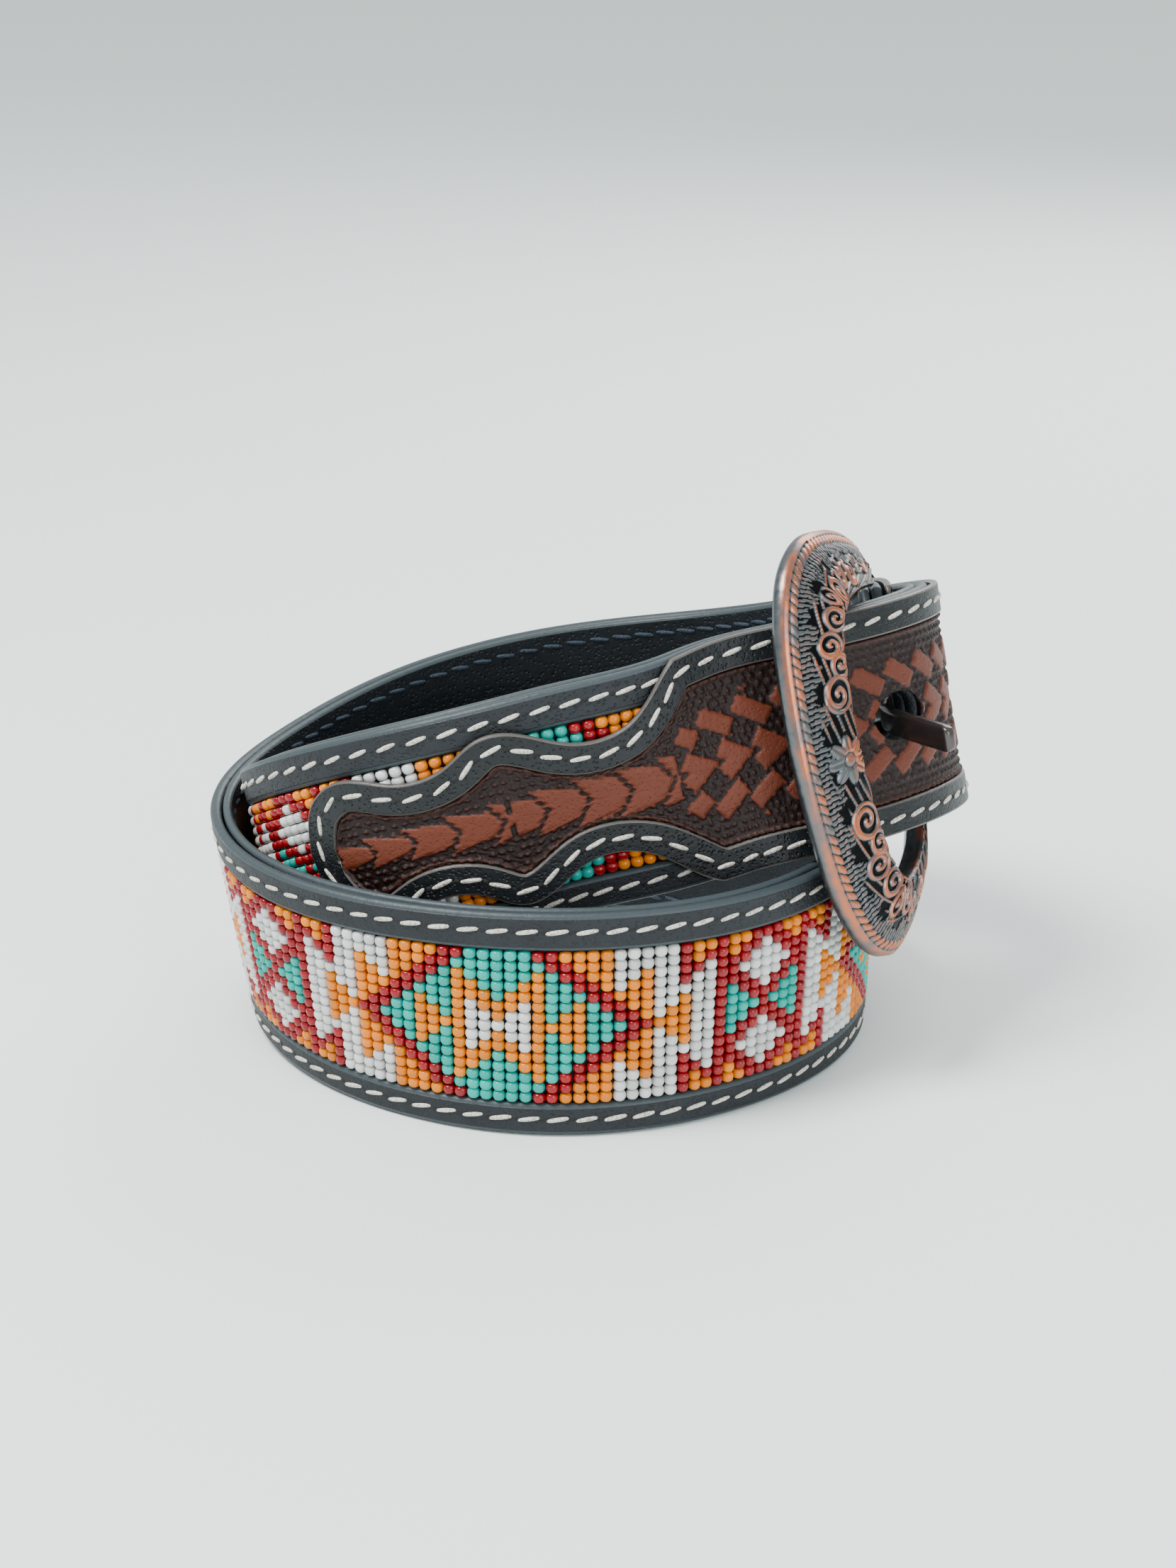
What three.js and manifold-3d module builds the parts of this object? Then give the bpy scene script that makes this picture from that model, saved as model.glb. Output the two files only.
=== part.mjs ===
// Beaded western belt, wound in a loose roll that stands on its edge, with its buckle fastened.
// Millimetres, +Z up. Belt coordinates: u runs along the strap from the buckle bar, v across it
// from the centreline up, n out through it from the middle of its plies.
import * as THREE from 'three';
import { mergeVertices } from 'three/addons/utils/BufferGeometryUtils.js';
import Module from 'manifold-3d';

// Driving sizes
const STRAP = { width: 38, liningThickness: 1.5, faceThickness: 1.9 };
const CLEARANCE = 0.3;
const ROLL = { radius: 55, windingGap: 1.1, tailGap: 0.6 };
const WINDOW = { underChape: 46, underBillet: 72, topMargin: 6.3, bottomMargin: 5.5 };
const BEADS = { proud: 0.2 };
const OVERLAY = { borderWidth: 5.2, borderThickness: 1.2, panelThickness: 0.9, scallops: 64 };
const BILLET = { tipLength: 22, tipBlunt: 3 };
const CHAPE = { overlayLength: 92 };
const FOLD = { thickness: 2.2, width: 29, leg: 5.5, flap: 50, flapCorner: 12, slotReach: 4.5, slotWidth: 8, seat: 14, seatGap: 0.5 };
const BAR = { radius: 2.2 };
const FRAME = { reach: 45, height: 70, band: 13, thickness: 8, armBeyondBar: 5, turn: 13, lift: 1.8, raise: 0.3 };
const PRONG = { width: 4.4, thickness: 2, hoop: 1.6, reach: 16.5, tipLean: 2.4, droop: 3, approach: 6 };
const HOLES = { pitch: 25.4, before: 0, after: 2, length: 11, width: 8 };

// Turns in degrees at which parts of the strap lie
const TURNS = { billet: 579.5, prong: 701.5, tip: 778, restsFrom: 240, restsTo: 495, bendFrom: 640, bendTo: 700 };

// Steps of the faceting
const STEP = { strap: 6, overlay: 3.4, fold: 10, frame: 3, bar: 12, turn: 1 };

// Sections of the roll, from the buckle end: turn in degrees round the roll's axis, radius of the
// middle of the plies as a share of the roll's radius, wraps 1 where it lies one winding inside
// that radius and -1 where it lies outside the strap that it covers, lift of the lower edge as a
// share of the strap's width, lean of the upper edge outwards in degrees.
const SECTIONS = [
  { turn: 0, radius: 1.015, wraps: 0, lift: 0.945, lean: -14 },
  { turn: 15, radius: 1.056, wraps: 0, lift: 0.885, lean: -10.5 },
  { turn: 30, radius: 1.084, wraps: 0, lift: 0.735, lean: -8.5 },
  { turn: 60, radius: 1.078, wraps: 0, lift: 0.482, lean: -4 },
  { turn: 90, radius: 1.015, wraps: 0, lift: 0.355, lean: 0 },
  { turn: 120, radius: 0.969, wraps: 0, lift: 0.237, lean: 2 },
  { turn: 150, radius: 0.955, wraps: 0, lift: 0.121, lean: 5 },
  { turn: 180, radius: 0.993, wraps: 0, lift: 0.06, lean: 8.7 },
  { turn: 210, radius: 1, wraps: 0, lift: 0.022, lean: 10.5 },
  { turn: 240, radius: 0.993, wraps: 0, lift: 0, lean: 5.5 },
  { turn: 270, radius: 1.004, wraps: 0, lift: 0, lean: 1.5 },
  { turn: 300, radius: 0.985, wraps: 0, lift: 0, lean: 3.5 },
  { turn: 330, radius: 0.956, wraps: 0, lift: 0, lean: 3 },
  { turn: 360, radius: 0.928, wraps: 0, lift: 0, lean: 2 },
  { turn: 405, radius: 0.98, wraps: 1, lift: 0, lean: 1 },
  { turn: 450, radius: 0.975, wraps: 1, lift: 0, lean: 2 },
  { turn: 495, radius: 0.938, wraps: 1, lift: 0, lean: 4.7 },
  { turn: 525, radius: 0.955, wraps: 1, lift: 0.037, lean: 7.7 },
  { turn: 550, radius: 0.988, wraps: 1, lift: 0.192, lean: 9.5 },
  { turn: 575, radius: 0.978, wraps: 1, lift: 0.442, lean: 7 },
  { turn: 600, radius: 0.912, wraps: 1, lift: 0.663, lean: 1 },
  { turn: 630, radius: 0.79, wraps: 1, lift: 0.821, lean: -1 },
  { turn: 660, radius: 0.702, wraps: 0, lift: 0.911, lean: -6 },
  { turn: 675, radius: 0.756, wraps: 0, lift: 0.975, lean: -11.6 },
  { turn: 690, radius: 0.91, wraps: 0, lift: 1.024, lean: -11.5 },
  { turn: 710, radius: 1.092, wraps: 0, lift: 1.026, lean: -10.5 },
  { turn: 730, radius: 1.054, wraps: -1, lift: 0.903, lean: -9.6 },
  { turn: 755, radius: 1.09, wraps: -1, lift: 0.663, lean: -7.6 },
  { turn: 785, radius: 1.08, wraps: -1, lift: 0.442, lean: -4 },
];

// Half width of the overlay from its point to where it meets the strap's edges, as shares of the
// scalloped length and of the strap's half width.
const SCALLOPS = [
  { along: 0, half: 0.12 },
  { along: 0.03, half: 0.37 },
  { along: 0.08, half: 0.57 },
  { along: 0.14, half: 0.66 },
  { along: 0.2, half: 0.65 },
  { along: 0.28, half: 0.55 },
  { along: 0.36, half: 0.53 },
  { along: 0.42, half: 0.6 },
  { along: 0.48, half: 0.73 },
  { along: 0.55, half: 0.76 },
  { along: 0.61, half: 0.68 },
  { along: 0.67, half: 0.57 },
  { along: 0.73, half: 0.51 },
  { along: 0.8, half: 0.52 },
  { along: 0.86, half: 0.6 },
  { along: 0.92, half: 0.77 },
  { along: 0.97, half: 0.93 },
  { along: 1, half: 1 },
];

// Upper half of the buckle from the middle of its bow to the end of its arm: place along the reach
// and up the half height, as shares of the outer size, with the band's width as a share of its own
// and its rise out of the buckle's plane in millimetres.
const BOW = [
  { along: 1, up: 0, band: 1, rise: -0.5 },
  { along: 0.985, up: 0.32, band: 1, rise: -0.4 },
  { along: 0.95, up: 0.62, band: 1, rise: 0 },
  { along: 0.86, up: 0.88, band: 1, rise: 0.8 },
  { along: 0.7, up: 1, band: 0.95, rise: 1.5 },
  { along: 0.48, up: 0.98, band: 0.86, rise: 1.3 },
  { along: 0.24, up: 0.9, band: 0.76, rise: 0 },
  { along: 0, up: 0.8, band: 0.66, rise: -2.5 },
];

// Section of the buckle's band: across as a share of the band's width, out as a share of thickness
const DOME = [
  { across: -0.5, out: 0 },
  { across: 0.1, out: 0.12 },
  { across: 0.5, out: 0.42 },
  { across: 0.5, out: 0.9 },
  { across: 0.36, out: 1 },
  { across: 0.1, out: 0.88 },
  { across: -0.2, out: 0.64 },
  { across: -0.4, out: 0.42 },
  { across: -0.5, out: 0.26 },
];

const DEGREE = Math.PI / 180;
const halfWidth = STRAP.width / 2;
const stack = STRAP.liningThickness + CLEARANCE + STRAP.faceThickness;
const liningLow = -stack / 2;
const liningHigh = liningLow + STRAP.liningThickness;
const faceLow = liningHigh + CLEARANCE;
const faceHigh = faceLow + STRAP.faceThickness;
const beadHigh = faceHigh + BEADS.proud;
const overlayLow = beadHigh + CLEARANCE;
const borderHigh = overlayLow + OVERLAY.borderThickness;
const panelHigh = overlayLow + OVERLAY.panelThickness;
const windingPitch = beadHigh - liningLow + ROLL.windingGap;
const tailPitch = borderHigh - liningLow + ROLL.tailGap;
const loopRadius = BAR.radius + CLEARANCE + FOLD.thickness / 2;
const plyStart = FOLD.leg + CLEARANCE;

const COLOURS = {
  strap_lining: { color: 0x12222c, roughness: 0.7, metalness: 0 },
  strap_face: { color: 0x3a4046, roughness: 0.55, metalness: 0 },
  bead_panel: { color: 0xf08a10, roughness: 0.25, metalness: 0 },
  border: { color: 0x2c3238, roughness: 0.5, metalness: 0 },
  panel: { color: 0x6a3a2a, roughness: 0.6, metalness: 0 },
  fold: { color: 0x1a262e, roughness: 0.65, metalness: 0 },
  frame: { color: 0x9a7766, roughness: 0.35, metalness: 1 },
  prong: { color: 0x6d6a68, roughness: 0.3, metalness: 1 },
};

const wasm = await Module();
wasm.setup();

/** Natural cubic spline through (xs, ys); returns a function of x. */
function naturalSpline(xs, ys) {
  const count = xs.length;
  const second = new Array(count).fill(0);
  const carry = new Array(count).fill(0);
  for (let i = 1; i < count - 1; i += 1) {
    const share = (xs[i] - xs[i - 1]) / (xs[i + 1] - xs[i - 1]);
    const pivot = share * second[i - 1] + 2;
    const bend = (ys[i + 1] - ys[i]) / (xs[i + 1] - xs[i]) - (ys[i] - ys[i - 1]) / (xs[i] - xs[i - 1]);
    second[i] = (share - 1) / pivot;
    carry[i] = (6 * bend / (xs[i + 1] - xs[i - 1]) - share * carry[i - 1]) / pivot;
  }
  for (let i = count - 2; i >= 0; i -= 1) {
    second[i] = second[i] * second[i + 1] + carry[i];
  }
  return (x) => {
    let i = 0;
    while (i < count - 2 && x > xs[i + 1]) {
      i += 1;
    }
    const step = xs[i + 1] - xs[i];
    const a = (xs[i + 1] - x) / step;
    const b = 1 - a;
    const cubic = (a ** 3 - a) * second[i] + (b ** 3 - b) * second[i + 1];
    return a * ys[i] + b * ys[i + 1] + cubic * step * step / 6;
  };
}

/** Value read from a table of rows by straight lines between them. */
function readTable(rows, key, value, at) {
  let i = 0;
  while (i < rows.length - 2 && at > rows[i + 1][key]) {
    i += 1;
  }
  const share = (at - rows[i][key]) / (rows[i + 1][key] - rows[i][key]);
  return THREE.MathUtils.lerp(rows[i][value], rows[i + 1][value], THREE.MathUtils.clamp(share, 0, 1));
}

/** Radius of a section, one winding in or one covering strap out of the outer turn. */
function sectionRadius(row) {
  const pitch = row.wraps > 0 ? windingPitch : tailPitch;
  return ROLL.radius * row.radius - pitch * row.wraps;
}

/** Stations of the roll: middle, run, across and out directions, and the length run so far. */
function makeStations() {
  const turns = SECTIONS.map((row) => row.turn);
  const radius = naturalSpline(turns, SECTIONS.map(sectionRadius));
  const liftLine = naturalSpline(turns, SECTIONS.map((row) => row.lift * STRAP.width));
  const rests = (turn) => turn >= TURNS.restsFrom && turn <= TURNS.restsTo;
  const lift = (turn) => (rests(turn) ? 0 : Math.max(liftLine(turn), 0));
  const lean = naturalSpline(turns, SECTIONS.map((row) => row.lean * DEGREE));
  const middle = (turn) => new THREE.Vector3(
    radius(turn) * Math.cos(turn * DEGREE),
    radius(turn) * Math.sin(turn * DEGREE),
    lift(turn) + halfWidth * Math.cos(lean(turn)),
  );
  const stations = [];
  let run = 0;
  for (let turn = turns[0]; turn <= turns[turns.length - 1]; turn += STEP.turn) {
    const centre = middle(turn);
    const along = middle(turn + STEP.turn / 2).sub(middle(turn - STEP.turn / 2)).normalize();
    const level = new THREE.Vector3(along.y, -along.x, 0).normalize();
    const upright = new THREE.Vector3().crossVectors(level, along);
    const across = upright.clone().multiplyScalar(Math.cos(lean(turn)));
    across.addScaledVector(level, Math.sin(lean(turn)));
    const out = level.clone().multiplyScalar(Math.cos(lean(turn)));
    out.addScaledVector(upright, -Math.sin(lean(turn)));
    if (stations.length > 0) {
      run += centre.distanceTo(stations[stations.length - 1].centre);
    }
    stations.push({ turn, run, centre, along, across, out, rests: rests(turn) });
  }
  return stations;
}

const stations = makeStations();

/** Length run along the strap at a turn. */
function runAt(turn) {
  const i = Math.min(Math.floor((turn - stations[0].turn) / STEP.turn), stations.length - 2);
  const share = (turn - stations[i].turn) / STEP.turn;
  return THREE.MathUtils.lerp(stations[i].run, stations[i + 1].run, share);
}

const strapLength = runAt(TURNS.tip);
const billetStart = runAt(TURNS.billet);
const prongAt = runAt(TURNS.prong);
const windowStart = WINDOW.underChape;
const windowEnd = billetStart + WINDOW.underBillet;

/** Point of the roll at belt coordinates; before the bar the strap's line runs on straight. */
function place(u, v, n) {
  let i = 0;
  while (i < stations.length - 2 && u > stations[i + 1].run) {
    i += 1;
  }
  const here = stations[i];
  const next = stations[i + 1];
  const share = THREE.MathUtils.clamp((u - here.run) / (next.run - here.run), 0, 1);
  const point = here.centre.clone().lerp(next.centre, share);
  point.addScaledVector(here.along, Math.min(u, 0));
  point.addScaledVector(here.across.clone().lerp(next.across, share).normalize(), v);
  point.addScaledVector(here.out.clone().lerp(next.out, share).normalize(), n);
  const lowestEdge = v <= -halfWidth;
  if (lowestEdge && ((here.rests && next.rests) || point.z < 0)) {
    point.z = 0;
  }
  return point;
}

/** Closed body from a list of corner points and triangles, with unused corners dropped. */
function closedBody(points, triangles) {
  const used = new Map();
  const coordinates = [];
  const index = triangles.flat().map((corner) => {
    if (!used.has(corner)) {
      used.set(corner, used.size);
      coordinates.push(points[corner].x, points[corner].y, points[corner].z);
    }
    return used.get(corner);
  });
  const geometry = new THREE.BufferGeometry();
  geometry.setAttribute('position', new THREE.Float32BufferAttribute(coordinates, 3));
  geometry.setIndex(index);
  return geometry;
}

/**
 * Sheet of leather as one closed body: columns of cells along it and rows across it.
 * columns[i] maps (v, n) to a point, rowsAt(i) gives the rows' edges, filled(i, j) says which cells
 * hold leather, low and high are its two faces.
 */
function sheetBody(columns, rowsAt, filled, low, high) {
  const points = [];
  const rows = rowsAt(0).length;
  columns.forEach((point, i) => {
    rowsAt(i).forEach((v) => {
      points.push(point(v, low), point(v, high));
    });
  });
  const corner = (i, j, top) => (i * rows + j) * 2 + top;
  const has = (i, j) => i >= 0 && j >= 0 && i < columns.length - 1 && j < rows - 1 && filled(i, j);
  const triangles = [];
  const quad = (a, b, c, d) => triangles.push([a, b, c], [a, c, d]);
  for (let i = 0; i < columns.length - 1; i += 1) {
    for (let j = 0; j < rows - 1; j += 1) {
      if (!has(i, j)) {
        continue;
      }
      quad(corner(i, j, 1), corner(i + 1, j, 1), corner(i + 1, j + 1, 1), corner(i, j + 1, 1));
      quad(corner(i, j, 0), corner(i, j + 1, 0), corner(i + 1, j + 1, 0), corner(i + 1, j, 0));
      if (!has(i, j - 1)) {
        quad(corner(i, j, 0), corner(i + 1, j, 0), corner(i + 1, j, 1), corner(i, j, 1));
      }
      if (!has(i, j + 1)) {
        quad(corner(i, j + 1, 0), corner(i, j + 1, 1), corner(i + 1, j + 1, 1), corner(i + 1, j + 1, 0));
      }
      if (!has(i - 1, j)) {
        quad(corner(i, j, 0), corner(i, j, 1), corner(i, j + 1, 1), corner(i, j + 1, 0));
      }
      if (!has(i + 1, j)) {
        quad(corner(i + 1, j, 0), corner(i + 1, j + 1, 0), corner(i + 1, j + 1, 1), corner(i + 1, j, 1));
      }
    }
  }
  return closedBody(points, triangles);
}

/** Closed body through a list of rings of points, its two ends capped. */
function loftBody(rings) {
  const size = rings[0].length;
  const triangles = [];
  for (let i = 0; i < rings.length - 1; i += 1) {
    for (let j = 0; j < size; j += 1) {
      const k = (j + 1) % size;
      triangles.push([i * size + j, i * size + k, (i + 1) * size + k]);
      triangles.push([i * size + j, (i + 1) * size + k, (i + 1) * size + j]);
    }
  }
  const last = (rings.length - 1) * size;
  for (let j = 1; j < size - 1; j += 1) {
    triangles.push([0, j + 1, j]);
    triangles.push([last, last + j, last + j + 1]);
  }
  return closedBody(rings.flat(), triangles);
}

/** The library's solid of a closed geometry. */
function toSolid(geometry) {
  const bare = geometry.clone();
  bare.deleteAttribute('normal');
  bare.deleteAttribute('uv');
  const merged = mergeVertices(bare, 1e-4);
  const vertProperties = new Float32Array(merged.attributes.position.array);
  const triVerts = new Uint32Array(merged.index.array);
  return new wasm.Manifold(new wasm.Mesh({ numProp: 3, vertProperties, triVerts }));
}

/** Geometry of a solid. */
function toGeometry(solid) {
  const mesh = solid.getMesh();
  const geometry = new THREE.BufferGeometry();
  geometry.setAttribute('position', new THREE.BufferAttribute(mesh.vertProperties, 3));
  geometry.setIndex(new THREE.BufferAttribute(mesh.triVerts, 1));
  return geometry;
}

/** Places from start to end, both included, with steps no longer than asked and extra places. */
function spacedPlaces(start, end, step, extra = []) {
  const count = Math.ceil((end - start) / step);
  const places = extra.filter((at) => at > start && at < end);
  const near = step / 3;
  for (let i = 0; i <= count; i += 1) {
    const at = start + (end - start) * i / count;
    const isEnd = i === 0 || i === count;
    if (isEnd || places.every((other) => Math.abs(other - at) > near)) {
      places.push(at);
    }
  }
  return places.sort((a, b) => a - b);
}

/** Columns of a sheet that lies along the strap. */
function strapColumns(places) {
  return places.map((u) => (v, n) => place(u, v, n));
}

/** Half width of the strap at u, full but for the rounded point of the billet. */
function strapHalf(u) {
  const fromEnd = (strapLength - u) / BILLET.tipLength;
  if (fromEnd >= 1) {
    return halfWidth;
  }
  const share = 1 - Math.max(fromEnd, 0);
  return BILLET.tipBlunt + (halfWidth - BILLET.tipBlunt) * Math.sqrt(1 - share ** 2.2);
}

/** Half width of an overlay at a distance from its scalloped point. */
function scallopHalf(distance) {
  return halfWidth * readTable(SCALLOPS, 'along', 'half', distance / OVERLAY.scallops);
}

const billetHalf = (u) => Math.min(scallopHalf(u - billetStart), strapHalf(u));
const chapeEnd = plyStart + CHAPE.overlayLength;
const chapeHalf = (u) => scallopHalf(chapeEnd - u);

/** Half width of the opening inside an overlay's border: its outline set in by the border's width. */
function openingHalf(outline, start, end, u) {
  const width = OVERLAY.borderWidth;
  const steps = 8;
  let half = Infinity;
  for (let k = -steps; k <= steps; k += 1) {
    const shift = width * k / steps;
    const at = u + shift;
    const edge = at < start || at > end ? -width : outline(at);
    half = Math.min(half, edge - Math.sqrt(width * width - shift * shift));
  }
  return half;
}

/** Cutter for one hole of the billet. */
function holeCutter(u) {
  const places = [-0.5, -0.28, 0.28, 0.5].map((share) => u + share * HOLES.length);
  const halves = [0.28, 0.5, 0.5, 0.28].map((share) => share * HOLES.width);
  const reach = stack * 2;
  const rows = (i) => [-halves[i], halves[i]];
  return toSolid(sheetBody(strapColumns(places), rows, () => true, -reach, reach));
}

const holePlaces = [];
for (let k = -HOLES.before; k <= HOLES.after; k += 1) {
  holePlaces.push(prongAt + k * HOLES.pitch);
}

/** Geometry with the billet's holes cut through it. */
function withHoles(geometry) {
  return toGeometry(holePlaces.reduce((solid, u) => solid.subtract(holeCutter(u)), toSolid(geometry)));
}

const tipPlaces = [0.12, 0.3, 0.55, 0.8].map((share) => strapLength - BILLET.tipLength * share);
const bendPlaces = spacedPlaces(runAt(TURNS.bendFrom), runAt(TURNS.bendTo), STEP.overlay);
const extraPlaces = [windowStart, windowEnd, ...tipPlaces, ...bendPlaces];
const strapPlaces = spacedPlaces(plyStart, strapLength, STEP.strap, extraPlaces);
const rowShares = [-1, -1 + WINDOW.bottomMargin / halfWidth, 0, 1 - WINDOW.topMargin / halfWidth, 1];

function makeLining() {
  const rows = (i) => rowShares.map((share) => share * strapHalf(strapPlaces[i]));
  return withHoles(sheetBody(strapColumns(strapPlaces), rows, () => true, liningLow, liningHigh));
}

function makeFace() {
  const rows = (i) => rowShares.map((share) => share * strapHalf(strapPlaces[i]));
  const inWindow = (i) => strapPlaces[i] >= windowStart && strapPlaces[i] < windowEnd;
  const filled = (i, j) => j === 0 || j === 3 || !inWindow(i);
  return withHoles(sheetBody(strapColumns(strapPlaces), rows, filled, faceLow, faceHigh));
}

function makeBeadPanel() {
  const places = spacedPlaces(windowStart + CLEARANCE, windowEnd - CLEARANCE, STEP.strap, bendPlaces);
  const low = -halfWidth + WINDOW.bottomMargin + CLEARANCE;
  const high = halfWidth - WINDOW.topMargin - CLEARANCE;
  return sheetBody(strapColumns(places), () => [low, 0, high], () => true, faceLow, beadHigh);
}

/** Black border of an overlay: a frame of leather round the opening for the tooled panel. */
function makeBorder(places, outline, opening) {
  const open = places.map((u) => opening(u));
  const least = CLEARANCE * 2;
  const rows = (i) => {
    const inner = Math.max(open[i], least);
    const outer = Math.max(outline(places[i]), inner + least);
    return [-outer, -inner, inner, outer];
  };
  const filled = (i, j) => j !== 1 || open[i] < least || open[i + 1] < least;
  return sheetBody(strapColumns(places), rows, filled, overlayLow, borderHigh);
}

/** Tooled panel of an overlay, inside its border. */
function makePanel(places, opening) {
  const inside = (u) => opening(u) - CLEARANCE;
  const least = CLEARANCE * 3;
  const held = places.filter((u) => inside(u) > least);
  const inner = held.slice(1, -1);
  const rows = (i) => [-inside(inner[i]), 0, inside(inner[i])];
  return sheetBody(strapColumns(inner), rows, () => true, overlayLow, panelHigh);
}

const billetPlaces = spacedPlaces(billetStart, strapLength, STEP.overlay, tipPlaces);
const billetOpening = (u) => openingHalf(billetHalf, billetStart, strapLength, u);
const chapePlaces = spacedPlaces(plyStart, chapeEnd, STEP.overlay);
const chapeOpening = (u) => openingHalf(chapeHalf, -Infinity, chapeEnd, u);

/** Middle line of the fold round the bar: belt coordinates and the direction out of its leather. */
function foldLine() {
  const line = [];
  line.push({ u: FOLD.leg, n: 0, outU: 0, outN: 1 });
  line.push({ u: FOLD.slotReach, n: 0, outU: 0, outN: 1 });
  for (let k = 0; k <= STEP.fold; k += 1) {
    const angle = Math.PI * k / STEP.fold;
    const outU = -Math.sin(angle);
    const outN = Math.cos(angle);
    line.push({ u: loopRadius * outU, n: loopRadius * (outN - 1), outU, outN });
  }
  const seat = liningLow - FOLD.seatGap - FOLD.thickness / 2;
  const slotShare = FOLD.slotReach / FOLD.seat;
  for (const share of [slotShare, (1 + 2 * slotShare) / 3, (2 + slotShare) / 3, 1]) {
    const ease = share * share * (3 - 2 * share);
    line.push({ u: FOLD.seat * share, n: THREE.MathUtils.lerp(-2 * loopRadius, seat, ease), outU: 0, outN: -1 });
  }
  const rest = FOLD.flap - FOLD.seat;
  for (let k = 1; k <= 8; k += 1) {
    line.push({ u: FOLD.seat + rest * k / 8, n: seat, outU: 0, outN: -1 });
  }
  return line.reverse();
}

/** Leather that folds round the bar, slotted for the prong, and comes back as a flap. */
function makeFold() {
  const line = foldLine();
  const columns = line.map((at) => (v, n) => place(at.u + at.outU * n, v, at.n + at.outN * n));
  const half = FOLD.width / 2;
  const flapHalf = (at) => {
    const fromEnd = (FOLD.flap - at.u) / FOLD.flapCorner;
    const share = at.outN > 0 || fromEnd >= 1 ? 0 : 1 - fromEnd;
    return half * (0.45 + 0.55 * Math.sqrt(1 - share * share));
  };
  const slot = FOLD.slotWidth / 2;
  const rows = (i) => [-flapHalf(line[i]), -slot, slot, flapHalf(line[i])];
  const inSlot = (i) => line[i].u <= FOLD.slotReach && line[i + 1].u <= FOLD.slotReach;
  return sheetBody(columns, rows, (i, j) => j !== 1 || !inSlot(i), -FOLD.thickness / 2, FOLD.thickness / 2);
}

const barCentre = place(0, 0, -loopRadius);
const barAxis = stations[0].across;

/** Directions of the buckle: along from the bar to the bow, up along the bar, out of its face. */
function buckleAxes() {
  const turn = FRAME.turn * DEGREE;
  const along = stations[0].along.clone().multiplyScalar(-Math.cos(turn));
  along.addScaledVector(stations[0].out, -Math.sin(turn));
  const face = new THREE.Vector3().crossVectors(barAxis, along);
  return { along, face };
}

const buckle = buckleAxes();

/** Point of the buckle from its own coordinates. */
function onBuckle(along, up, out) {
  const point = barCentre.clone().addScaledVector(buckle.along, along);
  return point.addScaledVector(barAxis, up + FRAME.raise).addScaledVector(buckle.face, out);
}

/** Outer edge of the buckle as a closed run of places: lower arm, bow, upper arm. */
function frameLine() {
  const span = FRAME.reach + FRAME.armBeyondBar;
  const upper = BOW.map((row) => new THREE.Vector3(
    row.along * span - FRAME.armBeyondBar,
    row.up * FRAME.height / 2,
    row.rise,
  ));
  const lower = upper.slice(1).reverse().map((at) => new THREE.Vector3(at.x, -at.y, at.z));
  return new THREE.CatmullRomCurve3([...lower, ...upper], false, 'catmullrom', 0.5);
}

/** Buckle: domed horseshoe band, with its bar cast in one with it. */
function makeFrame() {
  const curve = frameLine();
  const bandRows = BOW.toReversed();
  const count = Math.round(curve.getLength() / STEP.frame);
  const rings = [];
  for (let k = 0; k <= count; k += 1) {
    const at = curve.getPoint(k / count);
    const run = curve.getTangent(k / count);
    const inward = new THREE.Vector2(-run.y, run.x).normalize();
    const alongShare = (at.x + FRAME.armBeyondBar) / (FRAME.reach + FRAME.armBeyondBar);
    const band = FRAME.band * readTable(bandRows, 'along', 'band', alongShare);
    const ring = DOME.toReversed().map((row) => {
      const across = (row.across + 0.5) * band;
      const out = FRAME.lift + at.z + row.out * FRAME.thickness * band / FRAME.band;
      return onBuckle(at.x + inward.x * across, at.y + inward.y * across, out);
    });
    rings.push(ring);
  }
  const horseshoe = toSolid(loftBody(rings));
  const armEnd = BOW[BOW.length - 1];
  const barLength = FRAME.height * armEnd.up - 2 * armEnd.band * FRAME.band + 2 * BAR.radius;
  const bar = new THREE.CylinderGeometry(BAR.radius, BAR.radius, barLength, STEP.bar);
  bar.applyQuaternion(new THREE.Quaternion().setFromUnitVectors(new THREE.Vector3(0, 1, 0), barAxis));
  const barMiddle = onBuckle(0, 0, 0);
  bar.translate(barMiddle.x, barMiddle.y, barMiddle.z);
  return toGeometry(horseshoe.add(toSolid(bar)));
}

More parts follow.
